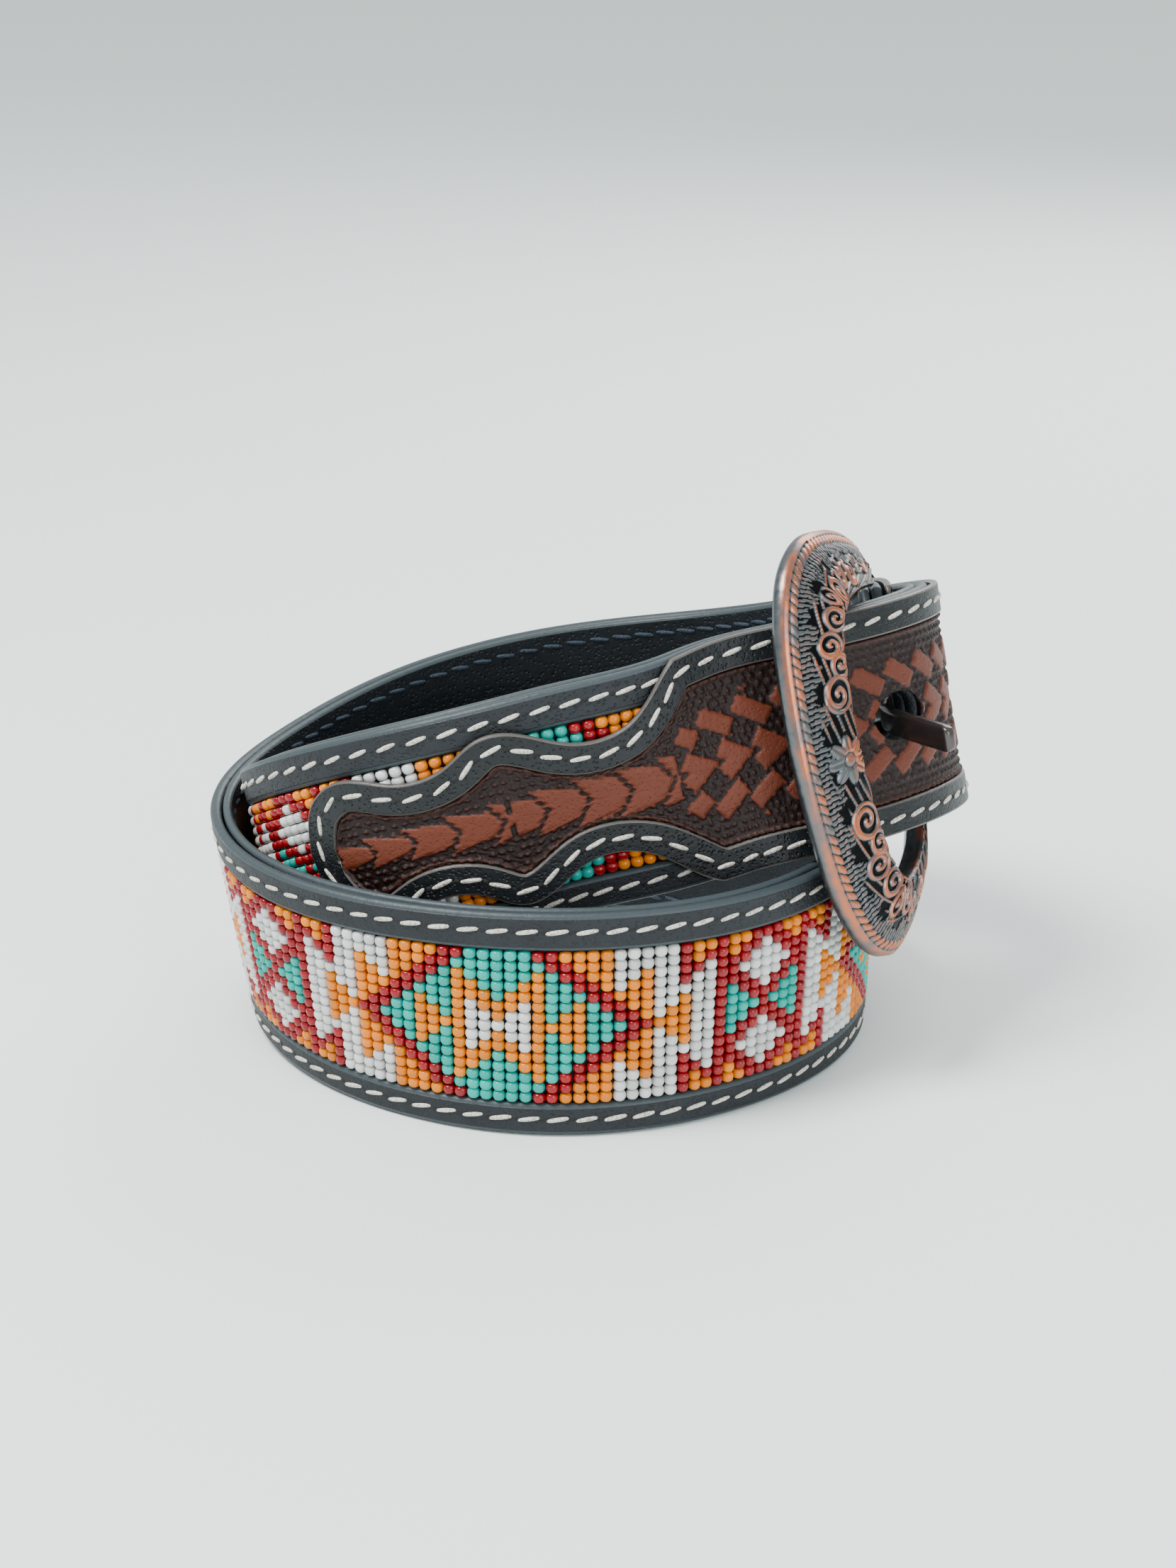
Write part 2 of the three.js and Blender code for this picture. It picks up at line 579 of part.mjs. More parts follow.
/** Prong: hoop round the bar, and a curved blade that comes out through the billet. */
function makeProng() {
  const hoopInner = BAR.radius + CLEARANCE;
  const hoopOuter = hoopInner + PRONG.hoop;
  const half = PRONG.width / 2;
  const profile = [
    new THREE.Vector2(hoopInner, -half),
    new THREE.Vector2(hoopOuter, -half),
    new THREE.Vector2(hoopOuter, half),
    new THREE.Vector2(hoopInner, half),
    new THREE.Vector2(hoopInner, -half),
  ];
  const hoop = new THREE.LatheGeometry(profile, STEP.bar);
  hoop.applyQuaternion(new THREE.Quaternion().setFromUnitVectors(new THREE.Vector3(0, 1, 0), barAxis));
  hoop.translate(barCentre.x, barCentre.y, barCentre.z);
  const start = barCentre.clone().addScaledVector(buckle.along, (hoopInner + hoopOuter) / 2);
  const route = new THREE.CatmullRomCurve3([
    start,
    place(prongAt + PRONG.approach, 0, liningLow - PRONG.thickness),
    place(prongAt, -PRONG.droop / 5, 0),
    place(prongAt - PRONG.tipLean, -PRONG.droop, PRONG.reach),
  ]);
  const rings = [];
  const count = 14;
  for (let k = 0; k <= count; k += 1) {
    const centre = route.getPoint(k / count);
    const run = route.getTangent(k / count);
    const side = barAxis.clone().addScaledVector(run, -barAxis.dot(run)).normalize();
    const out = new THREE.Vector3().crossVectors(run, side);
    const blunt = k === count ? 0.6 : 1;
    const ring = [[-1, -1], [1, -1], [1, 1], [-1, 1]].map(([across, up]) => centre.clone()
      .addScaledVector(side, across * half * blunt)
      .addScaledVector(out, up * PRONG.thickness / 2 * blunt));
    rings.push(ring);
  }
  return toGeometry(toSolid(hoop).add(toSolid(loftBody(rings))));
}

/** Named mesh with the finish of its kind. */
function mesh(name, geometry, finish = name) {
  geometry.computeVertexNormals();
  const result = new THREE.Mesh(geometry, new THREE.MeshStandardMaterial(COLOURS[finish]));
  result.name = name;
  return result;
}

const belt = new THREE.Group();
belt.add(mesh('strap_lining', makeLining()));
belt.add(mesh('strap_face', makeFace()));
belt.add(mesh('bead_panel', makeBeadPanel()));
belt.add(mesh('billet_border', makeBorder(billetPlaces, billetHalf, billetOpening), 'border'));
belt.add(mesh('billet_panel', withHoles(makePanel(billetPlaces, billetOpening)), 'panel'));
belt.add(mesh('chape_border', makeBorder(chapePlaces, chapeHalf, chapeOpening), 'border'));
belt.add(mesh('chape_panel', makePanel(chapePlaces, chapeOpening), 'panel'));
belt.add(mesh('chape_fold', makeFold(), 'fold'));
belt.add(mesh('buckle_frame', makeFrame(), 'frame'));
belt.add(mesh('prong', makeProng(), 'prong'));

// The part's origin is the middle of its box at floor level.
const box = new THREE.Box3().setFromObject(belt);
const middle = box.getCenter(new THREE.Vector3());
belt.children.forEach((child) => child.geometry.translate(-middle.x, -middle.y, -box.min.z));

export default belt;
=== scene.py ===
"""Beaded western belt in a loose roll: leather plies, seed beads, stitches, tooling and buckle."""
import logging
import math
from dataclasses import dataclass, field
from enum import Enum
from typing import Callable, NamedTuple

import bpy
import numpy as np
from mathutils import Matrix, Vector


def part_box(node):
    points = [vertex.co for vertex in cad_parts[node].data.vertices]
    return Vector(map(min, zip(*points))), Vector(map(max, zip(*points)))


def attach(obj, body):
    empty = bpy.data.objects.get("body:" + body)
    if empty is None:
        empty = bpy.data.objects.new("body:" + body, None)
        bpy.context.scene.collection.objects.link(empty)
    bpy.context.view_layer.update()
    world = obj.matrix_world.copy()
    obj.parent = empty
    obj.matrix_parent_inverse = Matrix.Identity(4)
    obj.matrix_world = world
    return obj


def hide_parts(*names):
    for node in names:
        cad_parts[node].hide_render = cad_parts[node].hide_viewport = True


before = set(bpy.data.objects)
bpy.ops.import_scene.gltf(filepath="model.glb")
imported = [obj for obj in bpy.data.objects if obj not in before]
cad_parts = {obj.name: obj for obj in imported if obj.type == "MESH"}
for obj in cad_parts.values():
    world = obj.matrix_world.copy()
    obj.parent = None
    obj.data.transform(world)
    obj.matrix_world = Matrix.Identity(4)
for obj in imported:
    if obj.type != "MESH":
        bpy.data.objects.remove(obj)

log = logging.getLogger("belt")
MM = 0.001


class Section(NamedTuple):
    """One section of the roll, as in the CAD source: shares of the roll radius and strap width."""

    turn: float
    radius: float
    wraps: int
    lift: float
    lean: float


SECTIONS = [
    Section(0, 1.015, 0, 0.945, -14), Section(15, 1.056, 0, 0.885, -10.5),
    Section(30, 1.084, 0, 0.735, -8.5), Section(60, 1.078, 0, 0.482, -4),
    Section(90, 1.015, 0, 0.355, 0), Section(120, 0.969, 0, 0.237, 2),
    Section(150, 0.955, 0, 0.121, 5), Section(180, 0.993, 0, 0.06, 8.7),
    Section(210, 1, 0, 0.022, 10.5), Section(240, 0.993, 0, 0, 5.5),
    Section(270, 1.004, 0, 0, 1.5), Section(300, 0.985, 0, 0, 3.5),
    Section(330, 0.956, 0, 0, 3), Section(360, 0.928, 0, 0, 2),
    Section(405, 0.98, 1, 0, 1), Section(450, 0.975, 1, 0, 2),
    Section(495, 0.938, 1, 0, 4.7), Section(525, 0.955, 1, 0.037, 7.7),
    Section(550, 0.988, 1, 0.192, 9.5), Section(575, 0.978, 1, 0.442, 7),
    Section(600, 0.912, 1, 0.663, 1), Section(630, 0.79, 1, 0.821, -1),
    Section(660, 0.702, 0, 0.911, -6), Section(675, 0.756, 0, 0.975, -11.6),
    Section(690, 0.91, 0, 1.024, -11.5), Section(710, 1.092, 0, 1.026, -10.5),
    Section(730, 1.054, -1, 0.903, -9.6), Section(755, 1.09, -1, 0.663, -7.6),
    Section(785, 1.08, -1, 0.442, -4),
]

# Half width of an overlay from its point: shares of the scalloped length and the half width.
SCALLOPS = [
    (0, 0.12), (0.03, 0.37), (0.08, 0.57), (0.14, 0.66), (0.2, 0.65), (0.28, 0.55),
    (0.36, 0.53), (0.42, 0.6), (0.48, 0.73), (0.55, 0.76), (0.61, 0.68), (0.67, 0.57),
    (0.73, 0.51), (0.8, 0.52), (0.86, 0.6), (0.92, 0.77), (0.97, 0.93), (1, 1),
]

# Upper half of the buckle's outer line: along, up, band share, rise in millimetres.
BOW = [
    (1, 0, 1, -0.5), (0.985, 0.32, 1, -0.4), (0.95, 0.62, 1, 0), (0.86, 0.88, 1, 0.8),
    (0.7, 1, 0.95, 1.5), (0.48, 0.98, 0.86, 1.3), (0.24, 0.9, 0.76, 0), (0, 0.8, 0.66, -2.5),
]

# Bead colours from the top row down, one column a line; it mirrors about its first and last.
CHART = [
    "TTTTTOOWOOTTTTT", "TTTTOOWWWOOTTTT", "TTTOOWWWWWOOTTT", "RTOOOOOOOOOOOTR",
    "RRTTTTTOTTTTTRR", "ORRTTTOOOTTTRRO", "OORRTOOOOOTRROO", "OOORRTTTTTRROOO",
    "OOOORRTTTRROOOO", "WWWWORRTRROWWWW", "WWWOOORRROOOWWW", "WWOOOOOROOOOOWW",
    "WWWWWWWOWWWWWWW", "WWWWWWOOOWWWWWW", "RRRRWOOOOOWRRRR", "OORWWWWWWWWWROO",
    "ORWWWWWWWWWWWRO", "RRRRRRRRRRRRRRR", "OORRRTTTTTRRROO", "ORRWRRTTTRRWRRO",
    "RRWWWRRTRRWWWRR", "RWWWWWRRRWWWWWR",
]


@dataclass(frozen=True)
class Strap:
    """Sizes of the strap and its roll, in millimetres and degrees of turn."""

    width: float = 38
    lining: float = 1.5
    face: float = 1.9
    clearance: float = 0.3
    roll: float = 55
    winding_gap: float = 1.1
    tail_gap: float = 0.6
    border_width: float = 5.2
    border_thick: float = 1.2
    scallops: float = 64
    tip_length: float = 22
    tip_blunt: float = 3
    chape_length: float = 92
    bead_proud: float = 0.2
    window_start: float = 46
    window_under_billet: float = 72
    top_margin: float = 6.3
    bottom_margin: float = 5.5
    ply_start: float = 5.8
    loop_radius: float = 3.6
    billet_turn: float = 579.5
    prong_turn: float = 701.5
    tip_turn: float = 778
    rests_from: float = 240
    rests_to: float = 495
    hole_pitch: float = 25.4
    hole_count: int = 3
    hole_length: float = 11
    hole_width: float = 8

    @property
    def half(self) -> float:
        """Half the strap's width."""
        return self.width / 2

    @property
    def lining_low(self) -> float:
        """Inner face of the lining."""
        return -(self.lining + self.clearance + self.face) / 2

    @property
    def face_low(self) -> float:
        """Inner face of the outer ply."""
        return self.lining_low + self.lining + self.clearance

    @property
    def face_high(self) -> float:
        """Outer face of the outer ply."""
        return self.face_low + self.face

    @property
    def overlay_low(self) -> float:
        """Inner face of the overlays."""
        return self.face_high + self.bead_proud + self.clearance


SIZE = Strap()


def natural_spline(xs: np.ndarray, ys: np.ndarray) -> Callable[[np.ndarray], np.ndarray]:
    """Natural cubic spline through points.

    Args:
        xs: places of the points, rising.
        ys: values there.

    Returns:
        A function that reads the spline at any places.
    """
    count = len(xs)
    gaps = np.diff(xs)
    matrix = np.eye(count)
    right = np.zeros(count)
    for i in range(1, count - 1):
        matrix[i, i - 1:i + 2] = gaps[i - 1], 2 * (gaps[i - 1] + gaps[i]), gaps[i]
        right[i] = 6 * ((ys[i + 1] - ys[i]) / gaps[i] - (ys[i] - ys[i - 1]) / gaps[i - 1])
    second = np.linalg.solve(matrix, right)

    def value(x: np.ndarray) -> np.ndarray:
        """The spline at x."""
        i = np.clip(np.searchsorted(xs, x, side="left") - 1, 0, count - 2)
        a = (xs[i + 1] - x) / gaps[i]
        b = 1 - a
        cubic = (a ** 3 - a) * second[i] + (b ** 3 - b) * second[i + 1]
        return a * ys[i] + b * ys[i + 1] + cubic * gaps[i] ** 2 / 6

    return value


def unit(vectors: np.ndarray) -> np.ndarray:
    """The vectors at length one."""
    return vectors / np.maximum(np.linalg.norm(vectors, axis=-1, keepdims=True), 1e-12)


class StrapPath:
    """The strap's route: maps belt coordinates u, v, n in millimetres to the row frame in metres."""

    def __init__(self, size: Strap) -> None:
        """Works out the stations and the shift from the roll's axis to the row frame."""
        self.size = size
        turns = np.array([s.turn for s in SECTIONS], float)
        pitch_in = size.bead_proud + size.face_high - size.lining_low + size.winding_gap
        pitch_out = size.overlay_low + size.border_thick - size.lining_low + size.tail_gap
        radii = [
            size.roll * s.radius - (pitch_in if s.wraps > 0 else pitch_out) * s.wraps
            for s in SECTIONS
        ]
        self.radius = natural_spline(turns, np.array(radii))
        self.lift_line = natural_spline(turns, np.array([s.lift * size.width for s in SECTIONS]))
        self.lean = natural_spline(turns, np.radians([s.lean for s in SECTIONS]))
        self.turns = np.arange(0.0, turns[-1] + 1)
        self.centre = self.middle(self.turns)
        self.along = unit(self.middle(self.turns + 0.5) - self.middle(self.turns - 0.5))
        level = unit(np.stack([self.along[:, 1], -self.along[:, 0], 0 * self.turns], -1))
        upright = np.cross(level, self.along)
        lean = self.lean(self.turns)[:, None]
        self.across = upright * np.cos(lean) + level * np.sin(lean)
        self.out = level * np.cos(lean) - upright * np.sin(lean)
        steps = np.linalg.norm(np.diff(self.centre, axis=0), axis=1)
        self.run = np.concatenate([[0], np.cumsum(steps)])
        self.shift = np.zeros(3)
        self.length = self.run_at(size.tip_turn)
        self.billet = self.run_at(size.billet_turn)
        self.prong = self.run_at(size.prong_turn)
        self.window_end = self.billet + size.window_under_billet
        self.chape_end = size.ply_start + size.chape_length
        self.shift = self.find_shift()

    def middle(self, turn: np.ndarray) -> np.ndarray:
        """Middle of the plies.

        Args:
            turn: turns in degrees.

        Returns:
            A point for each turn, in millimetres from the roll's axis.
        """
        lift = np.maximum(self.lift_line(turn), 0)
        rests = (turn >= self.size.rests_from) & (turn <= self.size.rests_to)
        lift = np.where(rests, 0, lift)
        radius = self.radius(turn)
        angle = np.radians(turn)
        height = lift + self.size.half * np.cos(self.lean(turn))
        return np.stack([radius * np.cos(angle), radius * np.sin(angle), height], -1)

    def run_at(self, turn: float) -> float:
        """Length run along the strap at a turn."""
        return float(np.interp(turn, self.turns, self.run))

    def mixed(self, table: np.ndarray, u: np.ndarray) -> np.ndarray:
        """A table of vectors read at u."""
        return np.stack([np.interp(u, self.run, table[:, k]) for k in range(3)], -1)

    def axes(self, u: np.ndarray) -> tuple[np.ndarray, np.ndarray, np.ndarray]:
        """Along, across and out directions at u."""
        tables = (self.along, self.across, self.out)
        return tuple(unit(self.mixed(table, u)) for table in tables)

    def place(self, u: np.ndarray, v: np.ndarray, n: np.ndarray) -> np.ndarray:
        """Points of the row frame at belt coordinates.

        Args:
            u: run along the strap, in millimetres.
            v: place across it, up from its middle line.
            n: height out of the middle of its plies.

        Returns:
            The points in metres, never under the floor.
        """
        u, v, n = np.broadcast_arrays(np.asarray(u, float), v, n)
        _, across, out = self.axes(u)
        point = self.mixed(self.centre, u) + self.along[0] * np.minimum(u, 0)[..., None]
        point = point + across * v[..., None] + out * n[..., None]
        point[..., 2] = np.maximum(point[..., 2], 0)
        return (point + self.shift) * MM

    def half_at(self, u: np.ndarray) -> np.ndarray:
        """Half width of the strap.

        Args:
            u: run along the strap, in millimetres.

        Returns:
            The half width, less at the rounded point of the billet.
        """
        share = np.clip(1 - (self.length - u) / self.size.tip_length, 0, 1)
        blunt = self.size.tip_blunt
        return blunt + (self.size.half - blunt) * np.sqrt(1 - share ** 2.2)

    def find_shift(self) -> np.ndarray:
        """Shift from the roll's axis to the row frame.

        Returns:
            The shift in millimetres that lays the lining's sheet in its CAD node's box.
        """
        low, high = (np.array(corner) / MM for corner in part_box("strap_lining"))
        u = np.linspace(self.size.ply_start, self.length, 1500)
        faces = (self.size.lining_low, self.size.lining_low + self.size.lining)
        edges = [self.place(u, side * self.half_at(u), n) for side in (-1, 1) for n in faces]
        points = np.concatenate(edges) / MM
        shift = ((low - points.min(0)) + (high - points.max(0))) / 2
        shift[2] = 0
        return shift


@dataclass
class Body:
    """One closed surface in the making: points, quads, triangles, uv and named marks."""

    points: np.ndarray
    quads: np.ndarray
    tris: np.ndarray
    uv: np.ndarray
    marks: dict[str, np.ndarray] = field(default_factory=dict)

    def faced_out(self) -> "Body":
        """Turns the faces outward.

        Returns:
            The body itself.
        """
        corners = np.concatenate([self.quads[:, [0, 1, 2]], self.quads[:, [0, 2, 3]], self.tris])
        a, b, c = (self.points[corners[:, k]] - self.points.mean(0) for k in range(3))
        if np.einsum("ij,ij->i", a, np.cross(b, c)).sum() < 0:
            self.quads = self.quads[:, ::-1]
            self.tris = self.tris[:, ::-1]
        return self


def loft(rings: np.ndarray, uv: np.ndarray, marks: dict[str, np.ndarray], loop: bool = False) -> Body:
    """Closed body through rings of points.

    Args:
        rings: points of each ring, as rings by ring size by three, in metres.
        uv: the same for the uv map.
        marks: the same for each named value.
        loop: True where the last ring joins the first and there are no ends.

    Returns:
        The body, facing outward.
    """
    count, size = rings.shape[:2]
    i = np.arange(count if loop else count - 1)[:, None]
    j = np.arange(size)[None, :]
    after, beside = (i + 1) % count, (j + 1) % size
    corners = [i * size + j, i * size + beside, after * size + beside, after * size + j]
    quads = np.stack(corners, -1).reshape(-1, 4)
    points, maps = rings.reshape(-1, 3), uv.reshape(-1, 2)
    values = {name: mark.reshape(-1) for name, mark in marks.items()}
    tris = np.zeros((0, 3), int)
    if not loop:
        first, last = count * size, count * size + 1
        ends = [(first, 0, 1), (last, (count - 1) * size, -1)]
        fans = []
        for middle, start, turn in ends:
            ring = start + np.arange(size)
            fans.append(np.stack([np.full(size, middle), np.roll(ring, -1), ring][::turn], -1))
        tris = np.concatenate(fans)
        points = np.concatenate([points, rings[0].mean(0)[None], rings[-1].mean(0)[None]])
        maps = np.concatenate([maps, uv[0].mean(0)[None], uv[-1].mean(0)[None]])
        values = {
            name: np.concatenate([value, [marks[name][0].mean(), marks[name][-1].mean()]])
            for name, value in values.items()
        }
    return Body(points, quads, tris, maps, values).faced_out()


def finished(piece: bpy.types.Object, nodes: tuple[str, ...] = ()) -> bpy.types.Object:
    """Ties a piece to the part's body.

    Args:
        piece: the finished mesh object.
        nodes: the CAD nodes that it stands for.

    Returns:
        The piece.
    """
    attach(piece, "root")
    if nodes:
        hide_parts(*nodes)
    log.info("%s: %d faces", piece.name, len(piece.data.polygons))
    return piece


def make_object(name: str, bodies: list[Body], material: bpy.types.Material) -> bpy.types.Object:
    """One smooth mesh object from closed bodies.

    Args:
        name: name of the piece.
        bodies: its bodies, which all have the same marks.
        material: its finish.

    Returns:
        The object, linked to the scene.
    """
    points, faces, uvs, start = [], [], [], 0
    for body in bodies:
        points.append(body.points)
        faces += (body.quads + start).tolist() + (body.tris + start).tolist()
        uvs.append(body.uv)
        start += len(body.points)
    mesh = bpy.data.meshes.new(name)
    mesh.from_pydata(np.concatenate(points).tolist(), [], faces)
    corner_vertex = np.zeros(len(mesh.loops), int)
    mesh.loops.foreach_get("vertex_index", corner_vertex)
    layer = mesh.uv_layers.new(name="UVMap")
    layer.data.foreach_set("uv", np.concatenate(uvs)[corner_vertex].ravel().astype(np.float32))
    for mark in bodies[0].marks:
        values = np.concatenate([body.marks[mark] for body in bodies])
        attribute = mesh.attributes.new(mark, "FLOAT", "POINT")
        attribute.data.foreach_set("value", values.astype(np.float32))
    mesh.shade_smooth()
    mesh.materials.append(material)
    piece = bpy.data.objects.new(name, mesh)
    bpy.context.scene.collection.objects.link(piece)
    return piece


class Wire:
    """A shader socket with arithmetic, so that masks read as formulas."""

    def __init__(self, tree: bpy.types.NodeTree, socket: bpy.types.NodeSocket) -> None:
        """Holds the socket and the tree that it is in."""
        self.tree = tree
        self.socket = socket

    def joined(self, operation: str, *values: "Wire | float", clamp: bool = False) -> "Wire":
        """A Math node with this wire first.

        Args:
            operation: the node's operation.
            values: what goes into its other sockets.
            clamp: True to keep the result from 0 to 1.

        Returns:
            The node's result.
        """
        node = self.tree.nodes.new("ShaderNodeMath")
        node.operation = operation
        node.use_clamp = clamp
        for index, value in enumerate((self, *values)):
            connect(self.tree, value, node.inputs[index])
        return Wire(self.tree, node.outputs[0])

    def __add__(self, other: "Wire | float") -> "Wire":
        """Sum with another value."""
        return self.joined("ADD", other)

    def __sub__(self, other: "Wire | float") -> "Wire":
        """This less another value."""
        return self.joined("SUBTRACT", other)

    def __mul__(self, other: "Wire | float") -> "Wire":
        """Product with another value."""
        return self.joined("MULTIPLY", other)

    def __rsub__(self, other: float) -> "Wire":
        """Another value less this."""
        return self.joined("MULTIPLY", -1).joined("ADD", other)

    __radd__ = __add__
    __rmul__ = __mul__

    def ramp(self, low: float, high: float) -> "Wire":
        """A smooth step.

        Args:
            low: value up to which the result is 0.
            high: value from which it is 1.

        Returns:
            The step.
        """
        node = self.tree.nodes.new("ShaderNodeMapRange")
        node.interpolation_type = "SMOOTHSTEP"
        connect(self.tree, self, node.inputs["Value"])
        node.inputs["From Min"].default_value = low
        node.inputs["From Max"].default_value = high
        return Wire(self.tree, node.outputs[0])


def connect(tree: bpy.types.NodeTree, value: object, socket: bpy.types.NodeSocket) -> None:
    """Links a wire to a socket, or sets a constant on it.

    Args:
        tree: the node tree.
        value: a wire, a number or a colour.
        socket: where it goes.
    """
    if isinstance(value, Wire):
        tree.links.new(value.socket, socket)
    elif hasattr(socket.default_value, "__len__"):
        socket.default_value = (*value, 1.0)[:len(socket.default_value)]
    else:
        socket.default_value = value


class Shader:
    """A material in the making, around one Principled shader."""

    def __init__(self, name: str) -> None:
        """Starts the material."""
        self.material = bpy.data.materials.new(name)
        self.material.use_nodes = True
        self.tree = self.material.node_tree
        self.surface = self.tree.nodes["Principled BSDF"]

    def node(self, kind: str, settings: dict[str, object], inputs: dict[str, object],
             output: int | str = 0) -> Wire:
        """A node of this type: settings first, then inputs.

        Args:
            kind: the node's type.
            settings: its own values by name.
            inputs: values or wires by the name of the socket.
            output: the socket to read.

        Returns:
            That output.
        """
        node = self.tree.nodes.new(kind)
        for name, value in settings.items():
            setattr(node, name, value)
        for name, value in inputs.items():
            connect(self.tree, value, node.inputs[name])
        return Wire(self.tree, node.outputs[output])

    def position(self) -> Wire:
        """Object coordinates."""
        return self.node("ShaderNodeTexCoord", {}, {}, "Object")

    def mark(self, name: str) -> Wire:
        """A named value of the mesh."""
        return self.node("ShaderNodeAttribute", {"attribute_name": name}, {}, "Fac")

    def noise(self, per_metre: float, detail: float = 4.0) -> Wire:
        """Noise at a scale per metre."""
        inputs = {"Vector": self.position(), "Scale": per_metre, "Detail": detail}
        return self.node("ShaderNodeTexNoise", {}, inputs, "Fac")

    def cells(self, per_metre: float) -> Wire:
        """Distance to the nearest point of a scatter."""
        inputs = {"Vector": self.position(), "Scale": per_metre}
        return self.node("ShaderNodeTexVoronoi", {}, inputs, "Distance")

    def mix(self, share: Wire | float, low: object, high: object) -> Wire:
        """One colour over another.

        Args:
            share: how much of the second shows.
            low: the first colour.
            high: the second colour.

        Returns:
            The mixed colour.
        """
        node = self.tree.nodes.new("ShaderNodeMix")
        node.data_type = "RGBA"
        for index, value in ((0, share), (6, low), (7, high)):
            connect(self.tree, value, node.inputs[index])
        return Wire(self.tree, node.outputs[2])

    def bump(self, height: Wire, distance: float, strength: float = 1.0) -> None:
        """Raises the surface's shading by a height."""
        inputs = {"Height": height, "Distance": distance, "Strength": strength}
        connect(self.tree, self.node("ShaderNodeBump", {}, inputs), self.surface.inputs["Normal"])

    def done(self, **inputs: object) -> bpy.types.Material:
        """Sets the shader's sockets.

        Args:
            inputs: values or wires by socket name, with underscores for spaces.

        Returns:
            The material.
        """
        for name, value in inputs.items():
            connect(self.tree, value, self.surface.inputs[name.replace("_", " ")])
        return self.material


def linear(hexadecimal: str) -> tuple[float, float, float]:
    """Linear colour of a screen colour.

    Args:
        hexadecimal: the screen colour in six digits.

    Returns:
        Red, green and blue from 0 to 1.
    """
    parts = [int(hexadecimal[k:k + 2], 16) / 255 for k in (0, 2, 4)]
    return tuple(p / 12.92 if p <= 0.04045 else ((p + 0.055) / 1.055) ** 2.4 for p in parts)


@dataclass(frozen=True)
class LeatherFinish:
    """Plain leather with fine pores and a painted edge."""

    name: str
    face: str
    edge: str
    roughness: float = 0.5
    pores: float = 1500
    depth: float = 0.0002

    def build(self) -> bpy.types.Material:
        """The material."""
        shader = Shader(self.name)
        base = linear(self.face)
        worn = tuple(min(1.0, 1.7 * c + 0.004) for c in base)
        blotch = shader.noise(90).ramp(0.35, 0.75)
        colour = shader.mix(blotch * 0.5, base, worn)
        rim = shader.mark("rim").ramp(0.1, 0.9)
        colour = shader.mix(rim, colour, linear(self.edge))
        pore = shader.cells(self.pores).ramp(0.1, 0.45)
        grain = shader.noise(self.pores * 0.7, 6)
        shader.bump(pore * 0.7 * (1 - rim) + grain * 0.6, self.depth)
        rough = self.roughness + grain * 0.16 - rim * 0.12
        return shader.done(Base_Color=colour, Roughness=rough, Specular_IOR_Level=0.35)


@dataclass(frozen=True)
class TooledFinish:
    """Brown leather, dark in the ground of the tooling and tan where it stands up."""

    name: str = "tooled brown leather"
    ground: str = "1A0705"
    raised: str = "5E2815"

    def build(self) -> bpy.types.Material:
        """The material."""
        shader = Shader(self.name)
        tool = shader.mark("tool")
        worn = shader.noise(260, 5)
        share = (tool + (worn - 0.5) * 0.45).ramp(0.25, 0.85)
        colour = shader.mix(share, linear(self.ground), linear(self.raised))
        colour = shader.mix(shader.mark("rim"), colour, linear("3A1D14"))
        pore = shader.cells(1700).ramp(0.05, 0.4)
        grain = shader.noise(1500, 6)
        shader.bump(pore * 0.6 + grain, 0.00012)
        return shader.done(Base_Color=colour, Roughness=0.42 + grain * 0.2,
                           Specular_IOR_Level=0.3)


@dataclass(frozen=True)
class BeadFinish:
    """Opaque glass seed beads of one colour."""

    name: str
    colour: str
    lustre: float = 0.25

    def build(self) -> bpy.types.Material:
        """The material."""
        shader = Shader(self.name)
        base = linear(self.colour)
        dark = tuple(0.62 * c for c in base)
        colour = shader.mix(shader.mark("tint"), dark, base)
        return shader.done(Base_Color=colour, Roughness=0.24, Coat_Weight=self.lustre,
                           Specular_IOR_Level=0.3)


@dataclass(frozen=True)
class ThreadFinish:
    """Waxed thread, twisted from strands."""

    name: str
    light: str
    dark: str

    def build(self) -> bpy.types.Material:
        """The material."""
        shader = Shader(self.name)
        strands = shader.noise(2600, 3)
        colour = shader.mix(strands.ramp(0.3, 0.6), linear(self.dark), linear(self.light))
        shader.bump(strands, 0.0003)
        return shader.done(Base_Color=colour, Roughness=0.75)


@dataclass(frozen=True)
class MetalFinish:
    """Cast metal, bright on the ridges and blackened in the hollows."""

    name: str
    high: str
    low: str
    middle: str
    roughness: float = 0.3
    aged: bool = True

    def build(self) -> bpy.types.Material:
        """The material."""
        shader = Shader(self.name)
        scuff = shader.noise(700, 6)
        colour = linear(self.high)
        if self.aged:
            height = shader.mark("height") + (scuff - 0.5) * 0.35
            colour = shader.mix(height.ramp(0.2, 0.55), linear(self.low), linear(self.middle))
            copper = height.ramp(0.5, 0.8) * shader.noise(160, 3).ramp(0.3, 0.6)
            colour = shader.mix(copper, colour, linear(self.high))
        shader.bump(scuff, 0.00006)
        rough = self.roughness + scuff * 0.16
        return shader.done(Base_Color=colour, Metallic=0.9, Roughness=rough)


